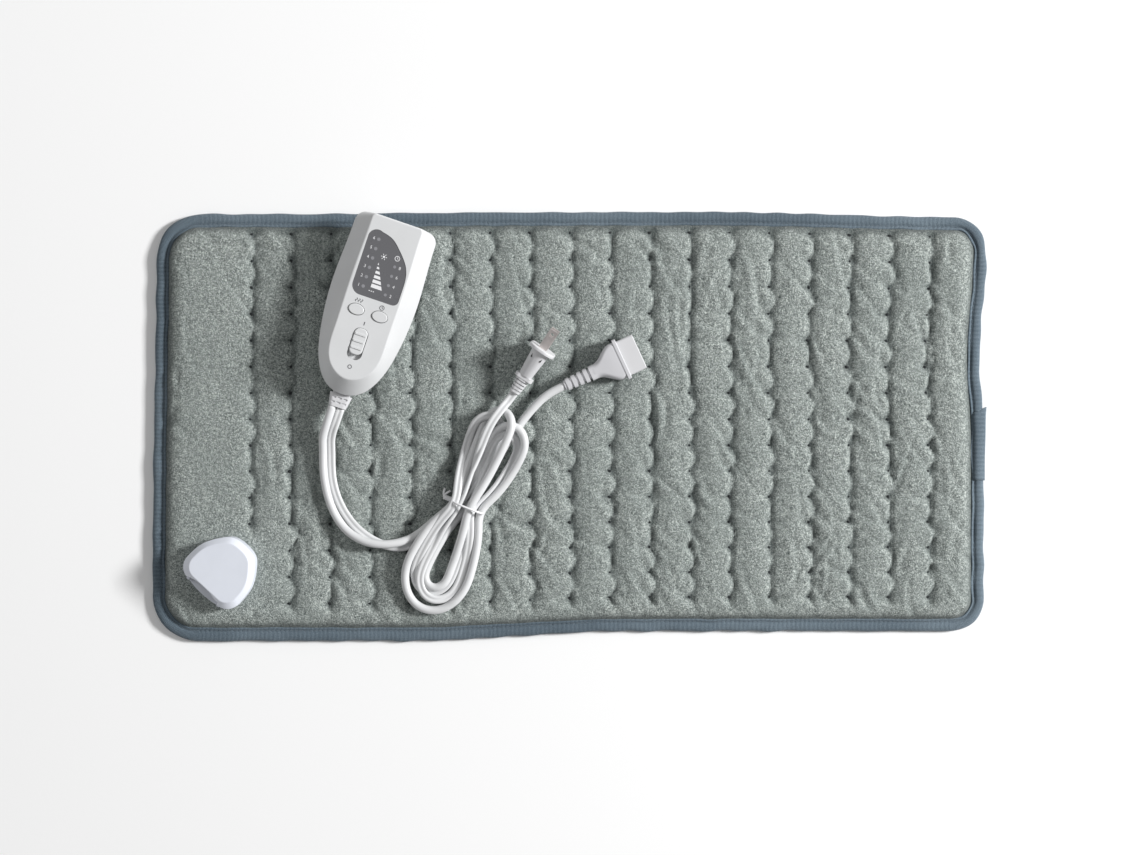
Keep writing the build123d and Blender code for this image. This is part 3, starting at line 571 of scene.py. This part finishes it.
class Surface:
    """A material and the nodes that make its surface. Texture scales are per metre."""

    def __init__(self, name, colour, roughness, **sockets):
        self.material = bpy.data.materials.new(name)
        self.material.use_nodes = True
        self.tree = self.material.node_tree
        self.shader = self.tree.nodes["Principled BSDF"]
        self.place = self.tree.nodes.new("ShaderNodeTexCoord").outputs["Object"]
        self.material.diffuse_color = colour
        self.shader.inputs["Base Color"].default_value = colour
        self.shader.inputs["Roughness"].default_value = roughness
        for socket, value in sockets.items():
            self.shader.inputs[socket.replace("_", " ")].default_value = value

    def add(self, kind, inputs, **settings):
        """New node with its settings, and inputs from values or other nodes."""
        node = self.tree.nodes.new(kind)
        for setting, value in settings.items():
            setattr(node, setting, value)
        for socket, value in inputs.items():
            if isinstance(value, bpy.types.NodeSocket):
                self.tree.links.new(value, node.inputs[socket])
            else:
                node.inputs[socket].default_value = value
        return node

    def noise(self, scale, detail=2.0, place=None, distortion=0.0):
        inputs = {"Vector": place or self.place, "Scale": scale, "Detail": detail}
        inputs["Distortion"] = distortion
        return self.add("ShaderNodeTexNoise", inputs).outputs["Fac"]

    def stretched(self, scale):
        """Object place scaled unevenly, for grain that runs one way."""
        return self.add("ShaderNodeMapping", {"Vector": self.place, "Scale": scale}).outputs["Vector"]

    def wave(self, scale, direction, place, distortion=0.0):
        inputs = {"Vector": place, "Scale": scale, "Distortion": distortion, "Detail": 2.0}
        return self.add("ShaderNodeTexWave", inputs, bands_direction=direction).outputs["Fac"]

    def between(self, factor, low, high, start=0.0, stop=1.0):
        """Value that goes from start to stop as the factor goes from low to high."""
        inputs = {"Value": factor, "From Min": low, "From Max": high, "To Min": start, "To Max": stop}
        return self.add("ShaderNodeMapRange", inputs).outputs["Result"]

    def ramp(self, factor, stops):
        node = self.add("ShaderNodeValToRGB", {"Fac": factor})
        elements = node.color_ramp.elements
        while len(elements) < len(stops):
            elements.new(0.5)
        for element, (position, colour) in zip(elements, stops):
            element.position = position
            element.color = colour
        return node.outputs["Color"]

    def mix(self, factor, first, second, how="MIX"):
        node = self.tree.nodes.new("ShaderNodeMix")
        node.data_type = "RGBA"
        node.blend_type = how
        for socket, value in ((node.inputs[0], factor), (node.inputs[6], first), (node.inputs[7], second)):
            if isinstance(value, bpy.types.NodeSocket):
                self.tree.links.new(value, socket)
            else:
                socket.default_value = value
        return node.outputs[2]

    def maths(self, operation, first, second):
        node = self.add("ShaderNodeMath", {0: first, 1: second}, operation=operation)
        return node.outputs["Value"]

    def weighed(self, first, share, second, other_share):
        """Sum of two values, each times its own share."""
        scaled = self.maths("MULTIPLY", first, share)
        return self.maths("ADD", scaled, self.maths("MULTIPLY", second, other_share))

    def relief(self, height, depth):
        """Bump that many millimetres deep."""
        inputs = {"Height": height, "Distance": depth * MM, "Strength": 1.0}
        self.give("Normal", self.add("ShaderNodeBump", inputs).outputs["Normal"])

    def give(self, socket, value):
        self.tree.links.new(value, self.shader.inputs[socket])

    def paint(self, colour):
        self.give("Base Color", colour)


def plush_material():
    """Short sage pile: light tips and dark roots, rubbed patches, and painted shade darkening the creases
    and dimples.
    """
    surface = Surface(
        "sage_microplush", rgb(132, 142, 137), 0.95, Sheen_Weight=0.25, Sheen_Roughness=0.45,
        Specular_IOR_Level=0.15,
    )
    tips = surface.noise(1500, distortion=0.3)
    clumps = surface.noise(520, 1.0)
    patches = surface.noise(26, 3.0)
    pile = surface.weighed(tips, 0.72, clumps, 0.28)
    stops = [(0.32, rgb(62, 70, 69)), (0.5, rgb(140, 147, 144)), (0.68, rgb(216, 223, 218))]
    colour = surface.ramp(pile, stops)
    patch = surface.between(patches, 0.35, 0.65, 0.0, 0.25)
    colour = surface.mix(patch, colour, rgb(128, 137, 134))
    # painted shade: the pile darkens toward rgb(62, 70, 70) where the top sheet sinks into creases and
    # dimples
    crease_shade = surface.add("ShaderNodeAttribute", {}, attribute_name="crease_shade").outputs["Fac"]
    shade = surface.between(crease_shade, 0.35, 1.0, 0.0, 0.7)
    surface.paint(surface.mix(shade, colour, rgb(62, 70, 70)))
    surface.relief(pile, 1.1)
    return surface.material


def backing_material():
    """Brushed polyester underside: a fine knit with a soft nap."""
    surface = Surface(
        "brushed_backing", rgb(138, 147, 143), 0.92, Sheen_Weight=0.15, Specular_IOR_Level=0.15
    )
    knit = surface.wave(260, "X", surface.place, 1.2)
    courses = surface.wave(330, "Y", surface.place, 1.2)
    loops = surface.maths("MULTIPLY", knit, courses)
    nap = surface.noise(900, 3.0)
    height = surface.maths("ADD", surface.maths("MULTIPLY", loops, 0.5), nap)
    surface.paint(surface.ramp(nap, [(0.3, rgb(104, 113, 110)), (0.7, rgb(168, 176, 171))]))
    surface.relief(height, 0.5)
    return surface.material


def binding_material():
    """Slate woven tape: fine ribs across it, threads along it, and worn lighter in large random patches."""
    surface = Surface("slate_tape", rgb(82, 99, 113), 0.85, Sheen_Weight=0.12, Specular_IOR_Level=0.2)
    place = surface.tree.nodes.new("ShaderNodeUVMap").outputs["UV"]
    ribs = surface.wave(3.3, "X", place, 0.8)
    threads = surface.wave(4.4, "Y", place, 0.6)
    weave = surface.weighed(ribs, 0.65, threads, 0.35)
    fibres = surface.noise(1500)
    weave = surface.maths("ADD", weave, surface.maths("MULTIPLY", fibres, 0.6))
    fading = surface.noise(9)
    dark_tones = (rgb(36, 46, 56), rgb(78, 94, 106), rgb(120, 134, 144))
    pale_tones = (rgb(48, 60, 70), rgb(94, 110, 121), rgb(136, 150, 160))
    levels = (0.35, 0.8, 1.0)
    dark = surface.ramp(weave, list(zip(levels, dark_tones)))
    pale = surface.ramp(weave, list(zip(levels, pale_tones)))
    surface.paint(surface.mix(surface.between(fading, 0.4, 0.62), dark, pale))
    surface.relief(weave, 0.25)
    return surface.material


def thread_material(name, colour):
    """Twisted sewing thread."""
    surface = Surface(name, colour, 0.8, Sheen_Weight=0.1)
    twist = surface.noise(2600)
    share = surface.between(twist, 0.35, 0.65)
    surface.paint(surface.mix(share, dimmed(colour, 0.6), colour))
    surface.relief(twist, 0.1)
    return surface.material


def moulded_material(name, colour, gloss, grain=0.012, **sockets):
    """Moulded plastic: a very fine spark-eroded grain, and faint clouding in its gloss and colour."""
    surface = Surface(name, colour, gloss, **sockets)
    texture = surface.noise(2400)
    cloud = surface.noise(55, 3.0)
    rough = surface.between(cloud, 0.3, 0.7, gloss - 0.04, gloss + 0.06)
    share = surface.between(cloud, 0.35, 0.7)
    surface.paint(surface.mix(share, colour, dimmed(colour, 0.955)))
    surface.give("Roughness", rough)
    surface.relief(texture, grain)
    return surface.material


def cord_material():
    """Soft white PVC with drawing marks and a little grime."""
    surface = Surface("cord_pvc", rgb(238, 239, 240), 0.42, Coat_Weight=0.08)
    marks = surface.noise(500, 3.0)
    grime = surface.noise(40, 3.0)
    stops = [(0.3, rgb(216, 217, 218)), (0.6, rgb(209, 210, 211)), (0.8, rgb(194, 195, 196))]
    surface.paint(surface.ramp(grime, stops))
    surface.give("Roughness", surface.between(marks, 0.3, 0.7, 0.36, 0.5))
    surface.relief(marks, 0.03)
    return surface.material


def metal_material(name, colour, gloss, stretch):
    """Rolled metal with fine scratches along one direction."""
    surface = Surface(name, colour, gloss, Metallic=1.0)
    scratches = surface.noise(900, 3.0, surface.stretched(stretch))
    tarnish = surface.noise(160)
    share = surface.between(tarnish, 0.4, 0.7)
    surface.paint(surface.mix(share, colour, dimmed(colour, 0.8)))
    surface.give("Roughness", surface.between(scratches, 0.3, 0.7, gloss - 0.06, gloss + 0.12))
    surface.relief(scratches, 0.02)
    return surface.material


def speckled_material(name, dark, light, roughness, scale, depth, **sockets):
    """Two-tone surface with fine relief, for the parts inside."""
    surface = Surface(name, light, roughness, **sockets)
    grain = surface.noise(scale, 3.0)
    surface.paint(surface.ramp(grain, [(0.3, dark), (0.7, light)]))
    surface.relief(grain, depth)
    return surface.material


cord_white = cord_material()
white_plastic = moulded_material("white_abs", rgb(208, 209, 210), 0.36)
slot_materials = {
    "controller_white": white_plastic,
    "socket_white": moulded_material("socket_abs", rgb(221, 225, 234), 0.36),
    "window_grey": moulded_material("smoked_window", rgb(98, 98, 101), 0.26, 0.004, Coat_Weight=0.3),
    "clear_plastic": moulded_material(
        "milky_guide", rgb(226, 228, 232), 0.2, 0.006, Transmission_Weight=0.6
    ),
    "cord_white": moulded_material("plug_pvc", rgb(211, 211, 213), 0.4),
    "cord_grey": moulded_material("connector_pvc", rgb(202, 202, 205), 0.38),
    "part_black": moulded_material("black_nylon", rgb(34, 34, 36), 0.5, 0.02),
    "board_green": speckled_material("epoxy_board", rgb(10, 72, 42), rgb(22, 100, 60), 0.4, 900, 0.03),
    "film_yellow": moulded_material("film_box", rgb(206, 172, 60), 0.45),
    "fuse_glass": moulded_material("fuse_glass", rgb(214, 220, 220), 0.1, 0.002, Transmission_Weight=0.8),
    "nickel": metal_material("nickel_plate", (0.86, 0.8, 0.78, 1), 0.38, (1, 9, 1)),
    "contact_brass": metal_material("contact_brass", (0.72, 0.55, 0.26, 1), 0.28, (9, 1, 1)),
    "screw_steel": metal_material("screw_steel", (0.55, 0.55, 0.56, 1), 0.3, (1, 1, 8)),
    "wire_silicone": speckled_material(
        "silicone_wire", rgb(196, 148, 132), rgb(222, 182, 166), 0.5, 700, 0.02
    ),
    "carrier_cloth": speckled_material(
        "carrier_cloth", rgb(206, 206, 200), rgb(232, 232, 228), 0.9, 1200, 0.1
    ),
    "wadding": speckled_material("wadding_fleece", rgb(220, 220, 214), rgb(246, 246, 242), 0.95, 300, 0.6),
}
for node in nodes.values():
    slot_name = node.data.materials[0].name.split(".")[0]
    if slot_name in slot_materials:
        node.data.materials[0] = slot_materials[slot_name]
for cord in (pad_cord, mains_cord):
    cord.data.materials.append(cord_white)

quilt_top = build_quilt()


# ---- quilting tacks: a small knot of dark thread at the bottom of each dimple
TACK_NARROWING = 0.8


def ball_stack(profile, around):
    """Small round form about its own axis, from (radius, height) pairs, closed at both ends."""
    angles = np.arange(around) * tau / around
    rings = []
    for radius, height in profile:
        level = np.full(around, height)
        rings.append(np.stack([radius * np.cos(angles), radius * np.sin(angles), level], axis=1))
    return np.concatenate(rings), tube_faces(len(profile), around)


def repeated(name, points, faces, places):
    """One mesh of the same small form at several places. places are 4x3 arrays: three axes and an origin."""
    all_points = []
    all_faces = []
    for axes in places:
        first = len(all_points) * len(points)
        all_points.append(points @ axes[:3] + axes[3])
        all_faces += [tuple(corner + first for corner in face) for face in faces]
    return mesh_piece(name, np.concatenate(all_points) * MM, all_faces)


def build_tacks():
    knot, faces = ball_stack(((0.6, -0.4), (1.4, 0), (1.35, 0.35), (0.9, 0.62), (0.3, 0.7)), 8)
    places = []
    for x in tack_x:
        for y in tack_y:
            if socket_share(np.array(x), np.array(y)) > 0:
                continue
            nearest = np.argmin((quilt_top[:, 0] - x) ** 2 + (quilt_top[:, 1] - y) ** 2)
            place = np.array(drifted(np.array(x), np.array(y)))
            turn = rng.uniform(0, tau)
            size = rng.uniform(0.8, 1.15)
            length = (cos(turn), sin(turn), 0)
            width = (-TACK_NARROWING * sin(turn), TACK_NARROWING * cos(turn), 0)
            axes = np.array([length, width, (0, 0, 1)]) * size
            places.append(np.vstack([axes, [*place, quilt_top[nearest, 2]]]))
    tacks = repeated("quilt_tacks", knot, faces, places)
    tacks.data.materials.append(thread_material("dark_thread", rgb(30, 36, 38)))
    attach(tacks, "pad")


build_tacks()


# ---- binding: a folded woven tape sewn round the edge
TAPE_PROFILE = (
    (10, 4.75), (9.7, 5.35), (9, 5.5), (8.4, 5.25), (7.8, 4.4), (7.1, 4.3), (6.5, 5.05), (5, 5.5),
    (3, 5.4), (1.4, 4.9), (0.4, 3.9), (0, 2.7), (0.3, 1.3), (1.2, 0.35), (3, 0), (6, 0), (10, 0),
    (10, 0.6), (6, 0.6), (2, 0.8), (1, 2.7), (2, 4.3), (6.5, 4.05), (10, 4.05),
)
TAIL_PROFILE = (
    (-8.5, 5.75), (-5, 6.05), (-1.2, 5.8), (1.6, 4.7), (2.8, 2.9), (1.6, 1.05), (-1, 0.25), (-6, 0.05),
    (-6, 0.55), (-0.8, 0.75), (0.9, 1.5), (1.9, 2.9), (0.9, 4.2), (-1.5, 5.2), (-5, 5.45), (-8.5, 5.15),
)
SEAM_INSET = 7.4
SEAM_HEIGHT = 4.38
STITCH_PITCH = 3.4
STITCH_LENGTH = 2.6


def outline(step):
    """Points along the pad's true outline and the directions out of it, anticlockwise from the right."""
    points = []
    outward = []
    sides = ((1, 1), (-1, 1), (-1, -1), (1, -1))
    for quarter, (side_x, side_y) in enumerate(sides):
        radius = float(corner_radius(side_x))
        centre = np.array((side_x * (HALF_LENGTH - radius), side_y * (HALF_WIDTH - radius)))
        count = int(radius * pi / 2 / step)
        turns = pi / 2 * (quarter + np.arange(count + 1) / count)
        around = np.stack([np.cos(turns), np.sin(turns)], axis=1)
        points.append(centre + radius * around)
        outward.append(around)
        next_x, next_y = sides[(quarter + 1) % 4]
        next_radius = float(corner_radius(next_x))
        next_centre = np.array((next_x * (HALF_LENGTH - next_radius), next_y * (HALF_WIDTH - next_radius)))
        start = points[-1][-1]
        finish = next_centre + next_radius * around[-1]
        runs = int(np.linalg.norm(finish - start) / step)
        share = np.arange(1, runs)[:, None] / runs
        points.append(start + (finish - start) * share)
        outward.append(np.repeat(around[-1:], runs - 1, axis=0))
    return np.concatenate(points), np.concatenate(outward)


def wavering(along, total, waves, size):
    """Closed course of small uneven waves along a loop of that total length."""
    course = np.zeros_like(along)
    for _ in range(waves):
        turns = rng.integers(8, 90)
        course += np.sin(along / total * tau * turns + rng.uniform(0, tau)) / sqrt(waves)
    return course * size


def build_binding():
    centre, outward = outline(2.4)
    gaps = np.linalg.norm(np.roll(centre, -1, axis=0) - centre, axis=1)
    along = np.concatenate([[0], np.cumsum(gaps)])
    total = along[-1]
    profile = np.array(TAPE_PROFILE, float)
    edge_shift = wavering(along[:-1], total, 16, 0.35)
    inner_shift = wavering(along[:-1], total, 16, 0.5)
    lift = wavering(along[:-1], total, 16, 0.22)
    share = profile[:, 0] / BINDING_WIDTH
    inset = profile[:, 0] + edge_shift[:, None] * (1 - share) + inner_shift[:, None] * share**2
    height = profile[:, 1] + lift[:, None] * (profile[:, 1] > 4.6)
    x = centre[:, 0, None] - outward[:, 0, None] * inset
    y = centre[:, 1, None] - outward[:, 1, None] * inset
    x, y = drifted(x, y)
    points = np.stack([x, y, height], axis=-1).reshape(-1, 3) * MM
    around = len(profile)
    binding = mesh_piece("binding", points, tube_faces(len(centre), around, capped=False, closed=True))
    steps = np.linalg.norm(np.roll(profile, -1, axis=0) - profile, axis=1)
    across = np.concatenate([[0], np.cumsum(steps)]) / 10
    along = along / 10
    station, corner = np.divmod(np.arange(len(centre) * around), around)
    corners = ((0, 0), (0, 1), (1, 1), (1, 0))
    uv = np.stack([np.stack([along[station + a], across[corner + b]], axis=-1) for a, b in corners], axis=1)
    binding.data.uv_layers.new(name="tape").data.foreach_set("uv", uv.reshape(-1).astype(np.float32))
    binding.data.materials.append(tape_material)
    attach(binding, "pad")
    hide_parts("edge_binding")


def build_stitches():
    """Lock stitches lying in the groove of the binding."""
    half = STITCH_LENGTH / 2
    sections = ((-half, 0.08), (-half * 0.8, 0.2), (0, 0.24), (half * 0.8, 0.2), (half, 0.08))
    turns = np.arange(6) * tau / 6
    stitch = np.concatenate(
        [np.stack([np.full(6, s), r * np.cos(turns), r * np.sin(turns)], axis=1) for s, r in sections]
    )
    centre, outward = outline(STITCH_PITCH)
    places = []
    for point, out in zip(centre, outward):
        seam = point - out * (SEAM_INSET + rng.uniform(-0.12, 0.12))
        tilt = rng.uniform(-0.06, 0.06)
        run = np.array((-out[1] - tilt * out[0], out[0] - tilt * out[1], 0))
        side = np.array((-run[1], run[0], 0))
        where = drifted(np.array(seam[0]), np.array(seam[1]))
        places.append(np.array([run, side, (0, 0, 1), (*where, SEAM_HEIGHT + 0.12)]))
    stitches = repeated("binding_stitches", stitch, tube_faces(len(sections), 6), places)
    stitches.data.materials.append(thread_material("slate_thread", rgb(104, 118, 128)))
    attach(stitches, "pad")


def build_binding_tail():
    """Loose end of the tape, lapped over the start and cut to a point."""
    tail_low, tail_high = box_mm("binding_tail")
    foot = tail_low[1] - 40
    tip = tail_high[1]
    stations = np.linspace(0, 1, 30)
    profile = np.array(TAIL_PROFILE)
    points = []
    for station in stations:
        y = foot + (tip - foot) * station
        flare = 0.05 + 0.5 * station**2
        point = max(0, (station - 0.9) / 0.1)
        keep = 1 - 0.96 * point**1.6
        out = np.where(profile[:, 0] > -1.3, profile[:, 0] * flare + 2.4 * flare, profile[:, 0])
        out = (out - 3) * keep + 3
        height = (profile[:, 1] - 3.2) * (0.35 + 0.65 * keep) + 3.2
        x, place_y = drifted(np.full(len(profile), HALF_LENGTH), np.full(len(profile), y))
        points.append(np.stack([x + out, place_y, height], axis=1))
    rings = np.concatenate(points)
    tail = mesh_piece("binding_tail_end", rings * MM, tube_faces(len(stations), len(profile)))
    layer = tail.data.uv_layers.new(name="tape")
    for loop in tail.data.loops:
        place = tail.data.vertices[loop.vertex_index].co / MM
        layer.data[loop.index].uv = (place.y / 10, (place.x + place.z) / 10)
    tail.data.materials.append(tape_material)
    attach(tail, "pad")
    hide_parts("binding_tail")


tape_material = binding_material()
build_binding()
build_stitches()
build_binding_tail()


# ---- marks on the hand controller, all generic
PRINT_DEPTH = 0.08
WINDOW_PRINT = WINDOW_TOP + 0.01
FACE_PRINT = 25.01
STROKE = 0.45
# each bar of the heat cone, as shares of the way from its apex to its foot
HEAT_BARS = ((0.02, 0.1), (0.17, 0.25), (0.33, 0.43), (0.5, 0.61), (0.67, 0.79), (0.84, 0.98))


def prism(corners):
    """Thin closed prism of a convex outline."""
    points = [(x, y, level) for level in (0, PRINT_DEPTH) for x, y in corners]
    return points, tube_faces(2, len(corners))


def printed(name, shapes, material, height):
    """Printed marks on a height of the controller. shapes are (points, faces) pairs."""
    points = []
    faces = []
    for shape_points, shape_faces in shapes:
        faces += [tuple(corner + len(points) for corner in face) for face in shape_faces]
        points += [on_controller(x, y, height + level) for x, y, level in shape_points]
    piece = mesh_piece(name, np.array(points) * MM, faces, smooth=False)
    piece.data.materials.append(material)
    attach(piece, "controller")


def disc(x, y, radius, count=16):
    turns = np.arange(count) * tau / count
    return prism([(x + radius * cos(turn), y + radius * sin(turn)) for turn in turns])


def bar(start, finish, width):
    """Straight stroke of that width between two points."""
    start = np.array(start, float)
    finish = np.array(finish, float)
    run = finish - start
    side = np.array((-run[1], run[0])) / np.linalg.norm(run) * width / 2
    corners = [start - side, finish - side, finish + side, start + side]
    return prism(corners)


def arc(centre, radius, width, start=0.0, sweep=tau, count=18):
    """Curved stroke as a row of short bars that share their ends."""
    centre = np.array(centre, float)
    turns = start + np.arange(count + 1) / count * sweep
    rim = [centre + radius * np.array((cos(turn), sin(turn))) for turn in turns]
    return [bar(first, second, width) for first, second in zip(rim, rim[1:])]


def numeral(text, x, y, size):
    """Points and faces of a number, centred on a place on the face."""
    curve = bpy.data.curves.new("numeral", "FONT")
    curve.body = text
    curve.size = size
    curve.align_x = "CENTER"
    curve.align_y = "CENTER"
    curve.extrude = PRINT_DEPTH / 2
    curve.resolution_u = 3
    holder = bpy.data.objects.new("numeral", curve)
    mesh = bpy.data.meshes.new_from_object(holder)
    middle = PRINT_DEPTH / 2
    points = [(x + vertex.co.x, y + vertex.co.y, middle + vertex.co.z) for vertex in mesh.vertices]
    faces = [tuple(polygon.vertices) for polygon in mesh.polygons]
    bpy.data.objects.remove(holder)
    bpy.data.meshes.remove(mesh)
    return points, faces


def build_marks():
    white_ink = moulded_material("white_ink", rgb(226, 226, 228), 0.5)
    grey_ink = moulded_material("grey_ink", rgb(78, 78, 82), 0.55)
    lamp = moulded_material("lamp_lens", rgb(136, 136, 140), 0.25, 0.004)
    numbers = [numeral(str(6 - row), -12.6, 113 - 7 * row, 3.1) for row in range(6)]
    numbers += [numeral(str(2 + 2 * row), 11.4, 77 + 7 * row, 3.1) for row in range(4)]
    printed("window_numbers", numbers, white_ink, WINDOW_PRINT)
    lamps = [disc(-9.2, 78 + 7 * row, 1.25) for row in range(6)]
    lamps += [disc(7.6, 77 + 7 * row, 1.1) for row in range(4)]
    printed("lamp_lenses", lamps, lamp, WINDOW_PRINT)
    printed("heat_scale", heat_scale(), white_ink, WINDOW_PRINT)
    printed("small_marks", small_marks(), white_ink, WINDOW_PRINT)
    printed("button_icons", button_icons(), grey_ink, FACE_PRINT)
    printed("power_icons", power_icons(), grey_ink, FACE_PRINT)


def heat_scale():
    """Cone of bars that widen toward the button."""
    apex = np.array((-4.2, 97.5))
    foot = np.array((0.2, 78.6))
    shapes = []
    for start, finish in HEAT_BARS:
        first = apex + (foot - apex) * start
        second = apex + (foot - apex) * finish
        wide_first, wide_second = 4.2 * start, 4.2 * finish
        corners = (
            (first[0] - wide_first, first[1]), (second[0] - wide_second, second[1]),
            (second[0] + wide_second, second[1]), (first[0] + wide_first, first[1]),
        )
        shapes.append(prism(corners))
    return shapes


def clock_face(centre, radius):
    """Ring with two hands."""
    x, y = centre
    hands = [bar(centre, (x + across, y + along), 0.4) for across, along in ((0, 1.1), (0.8, -0.3))]
    return [*arc(centre, radius, STROKE), *hands]


def small_marks():
    """Sun above the heat cone, clock at the right, and three dashes at the cone's foot."""
    sun = np.array((-1.8, 102.4))
    shapes = [disc(*sun, 0.8)]
    for ray in range(6):
        way = np.array((cos(ray * pi / 3), sin(ray * pi / 3)))
        shapes.append(bar(sun + way * 1.3, sun + way * 2.2, STROKE))
    shapes += clock_face((7.6, 104.2), 1.7)
    shapes += [bar((x, 76.4), (x + 0.9, 76.4), 0.6) for x in (-4.6, -3.1, -1.6)]
    return shapes


def button_icons():
    """Three rising waves over the heat button and a clock over the timer button."""
    shapes = []
    for x in (-10.7, -8.7, -6.7):
        shapes += arc((x, 66.9), 0.6, STROKE, pi / 2, pi, 6)
        shapes += arc((x, 68.1), 0.6, STROKE, -pi / 2, pi, 6)
    return shapes + clock_face((8.3, 67.4), 1.6)


def power_icons():
    """Upright stroke above the switch for on, and a ring below it for off."""
    return [bar((0, 51.6), (0, 54.2), 0.6), *arc((-0.2, 20.6), 1.3, 0.5)]


build_marks()


# ---- tie: a thin band round the hank, with its twisted ends beside it
TIE_HALF_WIDTH = 0.75
TIE_THICKNESS = 0.7
TIE_WIRE = 0.8
TIE_SECTION = (
    (-TIE_HALF_WIDTH, 0), (TIE_HALF_WIDTH, 0),
    (TIE_HALF_WIDTH, TIE_THICKNESS), (-TIE_HALF_WIDTH, TIE_THICKNESS),
)


def build_tie():
    tie_white = moulded_material("tie_plastic", rgb(238, 238, 240), 0.38)
    around = 40
    rings = []
    for step in range(around):
        turn = tau * step / around
        across = 0.7 + 12.0 * np.sign(cos(turn)) * abs(cos(turn)) ** 0.7
        height = 19.9 + 7.9 * np.sign(sin(turn)) * abs(sin(turn)) ** 0.8
        for along, out in TIE_SECTION:
            rings.append(in_hank(across + out * cos(turn), along, height + out * sin(turn)))
    faces = tube_faces(around, 4, capped=False, closed=True)
    band = mesh_piece("twist_tie", np.array(rings) * MM, faces)
    band.data.materials.append(tie_white)
    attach(band, "controller")
    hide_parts("cord_tie")
    for strand in (0, 1):
        twist = [in_hank(-11, 0.5 - strand, 18)]
        for step in range(10):
            turn = tau * step / 4 + pi * strand
            across = -12.4 - 0.62 * step
            twist.append(in_hank(across, 0.6 + 1.5 * cos(turn), 16.4 + 1.5 * sin(turn)))
        end = 1 - 2 * strand
        twist.append(in_hank(-18.6 + end, 3.4, 15.6))
        twist.append(in_hank(-17.4 + 2.2 * end, 6.4, 15.2))
        wire, _ = swept(f"tie_twist_{strand + 1}", twist, round_profile(TIE_WIRE * MM, 10))
        wire.data.materials.append(tie_white)
        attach(wire, "controller")


build_tie()


# ---- floor and light
FLOOR_REACH = 2.5


def build_studio():
    corners = [(x * FLOOR_REACH, y * FLOOR_REACH, 0) for x, y in ((-1, -1), (1, -1), (1, 1), (-1, 1))]
    floor = mesh_piece("floor", corners, [(0, 1, 2, 3)], smooth=False)
    floor.location.z = -0.2 * MM
    paper = Surface("pale_floor", (0.94, 0.94, 0.94, 1), 0.9)
    paper.relief(paper.noise(300), 0.02)
    floor.data.materials.append(paper.material)
    world = bpy.data.worlds.new("studio")
    world.use_nodes = True
    world.node_tree.nodes["Background"].inputs["Color"].default_value = (1, 1, 1, 1)
    world.node_tree.nodes["Background"].inputs["Strength"].default_value = 0.27
    scene.world = world
    add_light("key", (3.72, 0.75, 2.05), 0.8, 281)
    add_light("fill", (-2.4, 1.2, 2.4), 1.8, 18)


def add_light(name, place, size, power):
    """Square area light aimed at the pad's centre."""
    lamp = bpy.data.lights.new(name, "AREA")
    lamp.size = size
    lamp.energy = power
    light = bpy.data.objects.new(name, lamp)
    light.location = place
    light.rotation_euler = Vector(place).to_track_quat("Z", "Y").to_euler()
    scene.collection.objects.link(light)


build_studio()
scene.view_settings.view_transform = "Standard"

bpy.context.view_layer.update()
